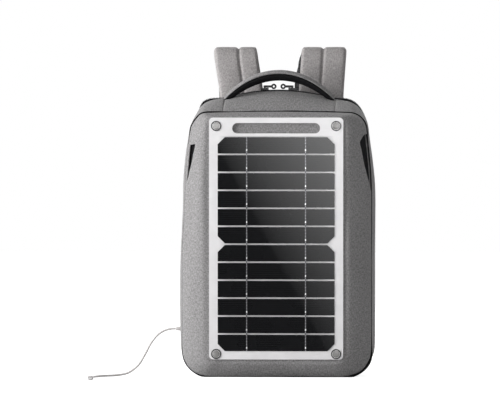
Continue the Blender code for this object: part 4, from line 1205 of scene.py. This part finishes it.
def makePads():
    rest = bag["backY"] + padding["shrink"]
    for _, word in sides:
        bm = mergedCopy(nodes[f"back_pad_{word}"])
        bm.normal_update()
        for vert in bm.verts:
            vert.co -= vert.normal * padding["shrink"]
        pad = finishPiece(f"backPad.{word}", bm, "back_flap", "spacerMesh", (f"back_pad_{word}",))
        pad.data.remesh_voxel_size = padding["voxel"]
        pad.data.uv_layers.remove(pad.data.uv_layers[0])
        with bpy.context.temp_override(object=pad, active_object=pad, selected_objects=[pad]):
            bpy.ops.object.voxel_remesh()
        inflate(pad, lambda p: 1.0 if p.y < rest + 0.002 else 0.0, padding["pressure"], padding["cap"])
        for vert in pad.data.vertices:  # sewn channels across
            near = min(abs(vert.co.z - z) for z in padding["channels"])
            depth = padding["channelDepth"] * (1 - smoothStep(near / padding["channelHalf"]))
            depth *= smoothStep((vert.co.y - rest) / 0.006)
            vert.co.y = max(rest - 0.0006, vert.co.y - depth)
        pad.data.shade_smooth()
        clothMap(pad.data)
        if not pad.data.materials:
            pad.data.materials.append(finishes["spacerMesh"])
        smoothen(pad)


strap = dict(
    rootX=0.060,
    rootY=0.0778,
    rootZ=0.418,
    top=0.514,
    bend=0.022,
    halfWidth=dict(left=0.0345, right=0.0360),
    endHalfWidth=0.0235,
    thickness=0.011,
    endZ=0.180,
    endRound=0.006,
    lean=0.012,
    taperFrom=0.6,
    shifts=((0.0, 0.0), (0.23, 0.0086), (0.44, 0.002), (1.0, 0.038)),
    sway=dict(left=(0.0015, -0.0010), right=(0.0058, 0.0022)),  # at the root and over the bend
    drawIn=dict(left=0.0005, right=0.0055),
    lobe=4.4,
    channel=0.2,
    channelAt=dict(left=0.15, right=-0.03),
    lining=-0.42,
    pressure=3.0,
    cap=0.0015,
    peek=dict(left=0.0016, right=0.0042),  # how far the lining shows past the inner edge
)
bendZ = strap["top"] - strap["thickness"] / 2 - strap["bend"]


def tableAt(table, share):
    for (start, low), (end, high) in zip(table, table[1:]):
        if share <= end:
            return lerp(low, high, smoothStep((share - start) / (end - start)))
    return table[-1][1]


def strapPath():
    # up from the root, over the bend and down the back, as (y, z)
    rootY, bend = strap["rootY"], strap["bend"]
    points = [Vector((rootY, lerp(strap["rootZ"], bendZ, i / 8))) for i in range(8)]
    for i in range(21):
        a = math.pi * (1 - i / 20)
        points.append(Vector((rootY + bend, bendZ)) + bend * Vector((math.cos(a), math.sin(a))))
    for i in range(1, 37):
        t = i / 36
        y = rootY + 2 * bend - strap["lean"] * smoothStep(t)
        points.append(Vector((y, lerp(bendZ, strap["endZ"], t))))
    return points


def strapStations(side):
    # place, heading, half width and share of the full section along a strap
    word = "left" if side < 0 else "right"
    points = strapPath()
    lengths = [0.0]
    for a, b in zip(points, points[1:]):
        lengths.append(lengths[-1] + (b - a).length)
    root, bend = strap["sway"][word]
    stations = []
    for i, (point, length) in enumerate(zip(points, lengths)):
        heading = (points[min(i + 1, len(points) - 1)] - points[max(i - 1, 0)]).normalized()
        share = length / lengths[-1]
        taper = smoothStep((share - strap["taperFrom"]) / (1 - strap["taperFrom"]))
        half = lerp(strap["halfWidth"][word], strap["endHalfWidth"], taper)
        behind = strap["drawIn"][word] * bell(share, 0.37, 0.08)
        sway = lerp(root, bend, smoothStep(share / 0.23)) * (1 - smoothStep((share - 0.23) / 0.25))
        x = side * (strap["rootX"] + tableAt(strap["shifts"], share) - behind) + sway
        fromEnd = min(1.0, min(length, lengths[-1] - length) / strap["endRound"])
        full = math.sqrt(1 - (1 - fromEnd) ** 2)
        stations.append((x, point, heading, half, lerp(0.35, 1.0, full)))
    return stations


def padSection(word):
    # two lobes with a sewn channel between them, over a flat underside
    ring = []
    for i in range(-14, 15):
        w = i / 14
        lobe = max(0.0, 1 - abs(2 * abs(w) - 1) ** strap["lobe"]) ** (1 / strap["lobe"])
        spot = w + strap["channelAt"][word] * (1 - w * w)
        foot = strap["channel"] if abs(w) < 0.9 else strap["lining"] + 0.2
        ring.append((spot, lerp(foot, 1.0, lobe)))
    return ring + [(w, strap["lining"]) for w in (0.96, 0.6, 0.2, -0.2, -0.6, -0.96)]


def liningSection():
    ring = [(w, strap["lining"] - 0.02) for w in (-0.97, -0.5, 0.0, 0.5, 0.97)]
    ring += [(0.985, -0.7), (0.95, -0.92), (0.85, -1.0), (0.3, -1.0)]
    return ring + [(-0.3, -1.0), (-0.85, -1.0), (-0.95, -0.92), (-0.985, -0.7)]


def strapPlace(station, w, h):
    x, point, heading, half, share = station
    outward = Vector((-heading.y, heading.x))
    spot = point + outward * (h * share * strap["thickness"] / 2)
    return Vector((x + w * half, spot.x, spot.y))


def strapHold(stations, word):
    # cloth is held at the lining, at both edges and along the sewn channel
    def hold(p):
        here = Vector((p.y, p.z))
        x, point, heading, half, _ = min(stations, key=lambda s: (s[1] - here).length_squared)
        w = (p.x - x) / half
        raised = (here - point).dot(Vector((-heading.y, heading.x)))
        return 1.0 if raised < 0 or min(abs(w - strap["channelAt"][word]), 1 - abs(w)) < 0.09 else 0.0

    return hold


def strapOutward(p):
    return Vector((0, p.y - strap["rootY"] - strap["bend"], max(0.0, p.z - bendZ) + 1e-4))


def makeStraps():
    for side, word in sides:
        stations = strapStations(side)
        body = f"strap_{word}"
        section = padSection(word)
        bm = loftRings([[strapPlace(s, w, h) for w, h in section] for s in stations], capped=True)
        # the pad's cloth is painted lighter: painted light on the straps
        pad = finishPiece(f"strapPad.{word}", bm, body, "heatherPaintedLight", (f"strap_{word}",))
        inflate(pad, strapHold(stations, word), strap["pressure"], strap["cap"])
        smoothen(pad)
        rings = []
        for i, s in enumerate(stations):
            peek = strap["peek"][word] / s[3] * (1 - smoothStep((i / len(stations) - 0.12) / 0.16))
            spots = [(w - side * peek if w * side < 0 else w, h) for w, h in liningSection()]
            rings.append([strapPlace(s, w, h) for w, h in spots])
        bm = loftRings(rings, capped=True)
        lining = finishPiece(f"strapLining.{word}", bm, body, "spacerMesh")
        smoothen(lining)
        # stitches down the channel and along each edge
        bm = bmesh.new()
        for w, h in ((strap["channelAt"][word], strap["channel"] + 0.05), (-0.93, 0.30), (0.93, 0.30)):
            stitchRow(bm, [strapPlace(s, w, h) for s in stations[1:-1]], strapOutward)
        finishPiece(f"strapStitches.{word}", bm, body, "threadGrey")


webbing = dict(
    width=0.025,
    thickness=0.0016,
    startX=0.098,
    lapTop=(0.104, 0.0754, 0.060),
    lap=0.020,
    stitchY=0.0766,
    stitchHalf=0.009,
    stitchZ=(0.057, 0.043),
    wingCut=0.014,
)


def webbingSection():
    face = (-0.98, -0.5, 0, 0.5, 0.98)
    return [(w, 1) for w in face] + [(1, 0)] + [(w, -1) for w in reversed(face)] + [(-1, 0)]


def makeWebbing():
    for side, word in sides:
        _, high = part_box(f"webbing_{word}")
        station = strapStations(side)[-1]
        heading = Vector((0, station[2].x, station[2].y))
        start = Vector((side * webbing["startX"], high.y - webbing["thickness"] / 2, high.z - 0.0001))
        x, y, z = webbing["lapTop"]
        lapTop = Vector((side * x, y, z))
        reach = (start - lapTop).length / 2
        points = []
        for i in range(25):
            t = i / 24
            points.append(
                start * (1 - t) ** 3
                + (start + heading * reach) * 3 * t * (1 - t) ** 2
                + (lapTop + Vector((0, 0, reach))) * 3 * t * t * (1 - t)
                + lapTop * t**3
            )
        points += [lapTop - Vector((0, 0, webbing["lap"] * i / 4)) for i in range(1, 5)]
        rings = []
        for i, point in enumerate(points):
            run = points[min(i + 1, len(points) - 1)] - points[max(i - 1, 0)]
            outward = Vector((0, -run.z, run.y)).normalized() * webbing["thickness"] / 2
            aside = Vector((webbing["width"] / 2, 0, 0))
            rings.append([point + aside * w + outward * h for w, h in webbingSection()])
        bm = loftRings(rings, capped=True)
        web = finishPiece(f"webbing.{word}", bm, None, "tapeBlack", (f"webbing_{word}",), sharp=50)
        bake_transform(web)
        makeWing(side, word)


def makeWing(side, word):
    # sewn wing that the webbing is lapped on, with a boxed cross of stitches
    low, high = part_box(f"strap_wing_{word}")
    bm = softBlock(high - low, (low + high) / 2, 0.0006, 2)
    tipX = max(abs(low.x), abs(high.x)) - 0.002
    corner = [v for v in bm.verts if v.co.x * side > tipX and v.co.z > high.z - 0.002]
    bmesh.ops.translate(bm, vec=(-side * webbing["wingCut"], 0, 0), verts=corner)
    finishPiece(f"strapWing.{word}", bm, "back_flap", "heatherGrey", (f"strap_wing_{word}",), sharp=40)
    middle, half = side * webbing["lapTop"][0], webbing["stitchHalf"]
    top, foot = webbing["stitchZ"]
    places = ((-half, top), (half, top), (half, foot), (-half, foot))
    box = [Vector((middle + dx, webbing["stitchY"], z)) for dx, z in places]
    bm = bmesh.new()
    backwards = lambda p: Vector((0, 1, 0))
    stitchRow(bm, box, backwards, closed=True)
    stitchRow(bm, [box[0], box[2]], backwards)
    stitchRow(bm, [box[1], box[3]], backwards)
    finishPiece(f"wingStitches.{word}", bm, "back_flap", "threadGrey")


makeFlap()
makePads()
makeStraps()
makeWebbing()
print("flap, pads and straps sewn")


# Grab handle

handle = dict(
    y=0.024,
    z=0.4323,
    halfSpan=0.0862,
    rise=0.0392,
    lean=0.002,
    halfWidth=0.013,
    cover=0.0068,
    lining=0.0110,
    legs=0.7,  # the lining is measured upright, so it grows down the sloping legs
    knuckle=0.003,
    lap=0.0004,
    sewn=0.0016,  # how deep its ends go into the top
    tilt=math.radians(21.1),
)


def clothTop(x, y):
    # height of the top gusset
    t = depthShare(y)
    front, back = (topHeight(outlines[name], abs(x)) for name in ("seam", "rim"))
    return lerp(front, back, t) + gusset["crown"] * math.sin(math.pi * t)


def handleRing(s, up):
    swelling = math.sqrt(max(0.0, 1 - s**4))
    lift = max(0.0, 1 - s * s)
    half = lerp(handle["knuckle"], handle["halfWidth"], swelling)
    if up > 0:
        thick = lerp(handle["knuckle"], handle["cover"], swelling)
    else:
        thick = lerp(handle["knuckle"], handle["lining"], lift**0.15) * math.hypot(1, handle["legs"] * s)
    turn = Matrix.Rotation(handle["tilt"] * s**4, 2)
    middle = Vector((handle["y"], handle["z"] + handle["rise"] * lift**0.95))
    x = s * handle["halfSpan"] + handle["lean"]
    ring = []
    for i in range(13):
        a = math.pi * i / 12
        out = thick * math.sin(a) ** 0.8 if i not in (0, 12) else 0
        spot = middle + turn @ Vector((half * math.cos(a), up * (out - handle["lap"])))
        ring.append(Vector((x, spot.x, max(spot.y, clothTop(x, spot.x) - handle["sewn"]))))
    return ring


def makeHandle():
    places = [math.sin(math.pi * (i / 40 - 0.5)) for i in range(41)]
    halves = (
        ("handleCover", 1, "heatherGrey", "handle_cover"),
        ("handleLining", -1, "nylonBlack", "handle_lining"),
    )
    for name, up, finish, node in halves:
        bm = loftRings([handleRing(s, up) for s in places], capped=True)
        piece = finishPiece(name, bm, None, finish, (node,))
        smoothen(piece)
        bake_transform(piece)


makeHandle()
print("handle sewn")


# Zip: tapes, teeth, sliders and pulls

zipper = dict(
    tape=0.0065,
    thickness=0.0036,
    out=0.0012,
    roll=0.0004,  # how much its edges turn down
    shoulder=0.002,
    sunk=0.0022,  # along the arched top
    endZ=0.060,
    pitch=0.0022,
    tooth=(0.0012, 0.0017, 0.0015),
)


def tapeRun(out):
    half = []
    for p, q in zip(halfOutline("rim", out), halfOutline("rim", out + zipper["shoulder"])):
        if p.y > 0.125:  # from here the tape goes straight down to its end
            spot = p.lerp(q, atShoulder(p, 0.018))
            sunk = zipper["sunk"] * smoothStep((0.104 - p.x) / 0.014) * smoothStep((p.y - 0.40) / 0.02)
            half.append(spot - Vector((0, sunk)))
    half.append(Vector((outlines["rim"]["half"] + out, zipper["endZ"])))
    return mirroredRun(half[1:]) + half


def makeTape(name, first, last, body, node, teethY):
    rows = []
    for t in (0, 0.1, 0.5, 0.9, 1):
        out = zipper["out"] - zipper["roll"] * abs(2 * t - 1)
        rows.append(atDepth(tapeRun(out), lerp(first, last, t)))
    bm = loftRings(rows, closed=False)
    pointOut(bm, bagHeart)
    tape = finishPiece(name, bm, body, "tapeBlack", (node,))
    thicken(tape, zipper["thickness"])
    bm = bmesh.new()
    size = Matrix.Diagonal((*zipper["tooth"], 1))
    across = Vector((0, 1, 0))
    for place, along in walk(atDepth(tapeRun(zipper["out"] + 0.0002), teethY), zipper["pitch"]):
        turn = Matrix((along, across, along.cross(across))).transposed().to_4x4()
        bmesh.ops.create_cube(bm, size=1.0, matrix=Matrix.Translation(place) @ turn @ size)
    finishPiece(name.replace("Tape", "Teeth"), bm, body, "mouldedBlack", sharp=30)


def makeZip():
    rim, rear, wide = bag["rimY"], bag["flapY"], zipper["tape"]
    makeTape("zipTapeFront", rim - wide, rim + 0.0003, "bag", "zip_tape_front", rim + 0.0005)
    makeTape("zipTapeRear", rear, rear + wide, "back_flap", "zip_tape_rear", rear - 0.0004)
    for sign, word in sides:
        makeSlider(sign, word)
        makePull(sign, word)


slide = dict(
    y=0.0492,
    x=0.0215,
    arch=0.3,
    archZ=0.147,  # middle of the arch that it runs along
    flange=(0.012, 0.0011, 0.0024),
    flangeY=0.0049,
    flangeZ=0.4476,
)
pullTab = dict(
    z=0.4518,
    pivotX=0.0219,
    ringX=0.00735,
    ring=0.0029,
    wire=0.0014,
    eye=0.00125,
    eyeWire=(0.00042, 0.0015),
    tab=(0.0034, 0.0036),
    waist=0.7,  # how much it narrows towards the ring
)


def makeSlider(sign, word):
    bm = mergedCopy(nodes[f"zip_slider_{word}"])
    bmesh.ops.dissolve_limit(bm, angle_limit=math.radians(2), verts=bm.verts, edges=bm.edges)
    lean = Matrix.Rotation(sign * math.asin(slide["x"] / slide["arch"]), 3, "Y")
    for edge in (-1, 1):  # flanges folded down over the teeth
        place = (0, slide["y"] + edge * slide["flangeY"], slide["flangeZ"])
        flange = softBlock(slide["flange"], place, 0.0003, 2)
        bmesh.ops.rotate(flange, cent=(0, slide["y"], slide["archZ"]), matrix=lean, verts=flange.verts)
        addShape(bm, flange)
    piece = finishPiece(
        f"zipSlider.{word}", bm, f"slider_{word}", "gunmetal", (f"zip_slider_{word}",), sharp=35
    )
    bevelEdges(piece, 0.0004, 3)


def makePull(sign, word):
    # a ring, a tab and the eye that it turns on
    y, z = slide["y"], pullTab["z"]
    pivot, ring = (Vector((sign * pullTab[key], y, z)) for key in ("pivotX", "ringX"))
    bm = turnedShape(roundWire(pullTab["ring"], pullTab["wire"], pullTab["wire"], 12), ring, (0, 1, 0), 32)
    addShape(bm, turnedShape(roundWire(pullTab["eye"], *pullTab["eyeWire"], 10), pivot, (0, 1, 0), 24))
    start, end = pullTab["pivotX"] - pullTab["wire"], pullTab["ringX"] + pullTab["ring"]
    tab = softBlock((start - end + 0.0006, *pullTab["tab"]), (sign * (start + end) / 2, y, z), 0.0005, 3)
    waist = [v for v in tab.verts if abs(v.co.x) < end + 0.003]
    bmesh.ops.scale(tab, vec=(1, pullTab["waist"], 1), space=Matrix.Translation((0, -y, 0)), verts=waist)
    addShape(bm, tab)
    finishPiece(f"zipPull.{word}", bm, f"pull_{word}", "gunmetal", (f"zip_pull_{word}",), sharp=45)


makeZip()
print("zip set")


# Solar panel, its eyelets, studs and regulator


def softenNode(name, finish, width=0.0, segments=2):
    node = nodes[name]
    node.data.materials.clear()
    node.data.materials.append(finishes[finish])
    if width:
        weld = node.modifiers.new("weld", "WELD")
        weld.merge_threshold = same
        bevelEdges(node, width, segments)


def makePanel():
    softenNode("panel_board", "laminateWhite", 0.0005)
    for i in range(1, 13):
        softenNode(f"cell_{i:02d}", "cellDark")
    for _, word in sides:
        softenNode(f"ribbon_{word}", "ribbonSilver")
        for level in ("top", "base"):
            makeSnap(level, word)
    softenNode("regulator_case", "mouldedBlack", 0.0006)
    softenNode("regulator_board", "circuitGreen")
    softenNode("usb_socket", "platedSteel", 0.0002)
    softenNode("usb_plug", "mouldedWhite", 0.0003)
    softenNode("inner_lead", "mouldedWhite")


snap = dict(bore=0.0056, tube=0.0062)


def makeSnap(level, word):
    low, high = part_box(f"eyelet_{level}_{word}")
    middle = (low + high) / 2
    back = (middle.x, high.y, middle.z)
    radius = (high.x - low.x) / 2
    deep = high.y - low.y
    bore, tube = snap["bore"], snap["tube"]
    # rolled flange in front, tube through the board, flange behind
    profile = [(bore, 0.0), (bore, deep - 0.0004), (bore + 0.0004, deep)]
    profile += [(radius - 0.0006, deep), (radius, deep - 0.0004), (radius - 0.0002, deep - 0.0008)]
    profile += [(tube + 0.0002, deep - 0.0010), (tube, deep - 0.0012)]
    profile += [(tube, 0.0010), (tube + 0.0002, 0.0008)]
    profile += [(radius - 0.0002, 0.0006), (radius, 0.0003), (radius - 0.0006, 0.0)]
    bm = turnedShape(profile, back, (0, -1, 0), 48)
    replaced = (f"eyelet_{level}_{word}",)
    finishPiece(f"eyelet.{level}.{word}", bm, "solar_panel", "platedDark", replaced, sharp=50)
    washer = [(bore, deep - 0.0003), (bore, deep + 0.00005), (bore + 0.0002, deep + 0.0002)]
    washer += [(bore + 0.0004, deep + 0.0002), (tube, deep), (tube - 0.0001, deep - 0.0003)]
    bm = turnedShape(washer, back, (0, -1, 0), 48)
    finishPiece(f"eyeletFace.{level}.{word}", bm, "solar_panel", "platedPale", sharp=50)
    softenNode(f"snap_stud_{level}_{word}", "platedGrey", 0.0002)


gland = dict(bore=0.0021, body=0.0036, flange=0.0070, rings=3, ringPitch=0.0024)


def makeGland():
    low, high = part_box("cable_gland")
    y, z = (low.y + high.y) / 2, (low.z + high.z) / 2
    length = high.x - low.x
    bore, body, flange = gland["bore"], gland["body"], gland["flange"]
    profile = [(bore, 0.0), (body, 0.0), (body, length - 0.0099), (flange - 0.0001, length - 0.0098)]
    profile += [(flange, length - 0.0092), (flange - 0.0006, length - 0.0084), (0.0040, length - 0.0078)]
    for k in range(gland["rings"]):  # soft rings of the strain relief, each smaller
        at = length - 0.0076 + gland["ringPitch"] * k
        outer, inner = 0.0037 - 0.0003 * k, 0.0029 - 0.0002 * k
        profile += [(outer, at), (outer, at + 0.0014), (inner, at + 0.0016), (inner, at + 0.0022)]
    profile += [(0.0027, length), (bore, length)]
    bm = turnedShape(profile, (high.x, y, z), (-1, 0, 0), 32)
    finishPiece("cableGland", bm, "bag", "mouldedWhite", ("cable_gland",), sharp=40)


makePanel()
makeGland()
for _, word in sides:
    softenNode(f"ladder_lock_{word}", "mouldedBlack", 0.0007, 3)
print("panel fitted")


# Floor, light and background

studio = dict(
    floorHalf=6,
    floorColour=(0.75, 0.75, 0.75, 1),
    floorGlow=0.85,
    ambient=(0.46, 0.22),  # from the left and from the right
    middle=(0, 0, 0.23),
    lampAway=2.4,
    lampSize=1.3,
    key=(-66, 12, 65),  # degrees round and up, and power
    rear=(172, 25, 14),
)


def flatSheet(name, half, place=None):
    bm = bmesh.new()
    bmesh.ops.create_grid(bm, x_segments=1, y_segments=1, size=half)
    if place:
        bm.transform(place)
    mesh = bpy.data.meshes.new(name)
    bm.to_mesh(mesh)
    bm.free()
    sheet = bpy.data.objects.new(name, mesh)
    scene.collection.objects.link(sheet)
    return sheet


def newMaterial(name, sheet):
    material = bpy.data.materials.new(name)
    material.use_nodes = True
    sheet.data.materials.append(material)
    return material.node_tree


def seenStraight(tree):
    # by the camera, in gloss or through glass
    rays = addNode(tree, "LightPath")
    mirrored = sums(tree, "MAXIMUM", rays.outputs["Is Glossy Ray"], rays.outputs["Is Transmission Ray"])
    return sums(tree, "MAXIMUM", rays.outputs["Is Camera Ray"], mirrored)


def addLamp(name):
    around, up, power = studio[name]
    lamp = bpy.data.lights.new(name, "AREA")
    lamp.energy, lamp.size = power, studio["lampSize"]
    aimAt(bpy.data.objects.new(name, lamp), Vector(studio["middle"]), around, up, studio["lampAway"])


def makeStudio():
    floor = flatSheet("floor", studio["floorHalf"])
    tree = newMaterial("floorPale", floor)
    feed(tree, tree.nodes["Principled BSDF"], {
        "Base Color": studio["floorColour"],
        "Roughness": 1.0,
        "Specular IOR Level": 0.0,
        "Emission Color": (1, 1, 1, 1),
        "Emission Strength": sums(tree, "MULTIPLY", seenStraight(tree), studio["floorGlow"]),
    })
    world = bpy.data.worlds.new("studio")
    world.use_nodes = True
    scene.world = world
    tree = world.node_tree
    toRight = addNode(tree, "SeparateXYZ", {0: objectPlace(tree)}).outputs[0]
    ambient = ranged(tree, toRight, -1.0, 1.0, *studio["ambient"])
    feed(tree, tree.nodes["Background"], {
        "Color": (1, 1, 1, 1),
        "Strength": mixed(tree, seenStraight(tree), ambient, 1.0),
    })
    addLamp("key")
    addLamp("rear")


# The room in front of the panel, seen only in its gloss: dark, with a bright window past a slanted edge

room = dict(
    y=-0.36,
    half=0.4,
    z=0.402,
    panelY=-0.0751,
    edge=((-0.083, 0.3455), (0.017, 0.158)),  # where its image lies on the panel
    blur=0.002,
    bright=(0.20, 20.0),  # at the edge, and how fast it rises with the distance
    dims=(0.10, 0.37, 0.64, 1.02),  # from this height to that, and its share at each
)


def onCard(spot):
    # where the camera's line to a place on the panel goes after its reflection
    eye = scene.camera.location
    share = (room["y"] - 2 * room["panelY"] + eye.y) / (eye.y - room["panelY"])
    return Vector((spot[0] * share - eye.x * (share - 1), spot[1] * share - eye.z * (share - 1)))


def makeRoom():
    place = Matrix.Translation((0, room["y"], room["z"])) @ Matrix.Rotation(-math.pi / 2, 4, "X")
    card = flatSheet("room", room["half"], place)
    card.visible_camera = card.visible_diffuse = card.visible_shadow = card.visible_transmission = False
    tree = newMaterial("roomSeenInGloss", card)
    tree.nodes.remove(tree.nodes["Principled BSDF"])
    split = addNode(tree, "SeparateXYZ", {0: objectPlace(tree)})
    x, z = split.outputs[0], split.outputs[2]
    a, b = (onCard(corner) for corner in room["edge"])
    run = (b - a).normalized()
    over = sums(tree, "MULTIPLY", sums(tree, "SUBTRACT", z, a.y), run.x)
    aside = sums(tree, "MULTIPLY", sums(tree, "SUBTRACT", x, a.x), run.y)
    past = sums(tree, "SUBTRACT", over, aside)
    window = ranged(tree, past, -room["blur"], room["blur"])
    first, rise = room["bright"]
    rising = sums(tree, "ADD", sums(tree, "MULTIPLY", past, rise), first)
    rising = sums(tree, "MULTIPLY", rising, ranged(tree, z, *room["dims"]))
    glow = addNode(tree, "Emission", {"Strength": sums(tree, "MULTIPLY", window, rising)})
    tree.links.new(glow.outputs[0], tree.nodes["Material Output"].inputs[0])


makeStudio()
makeRoom()
print("studio lit")
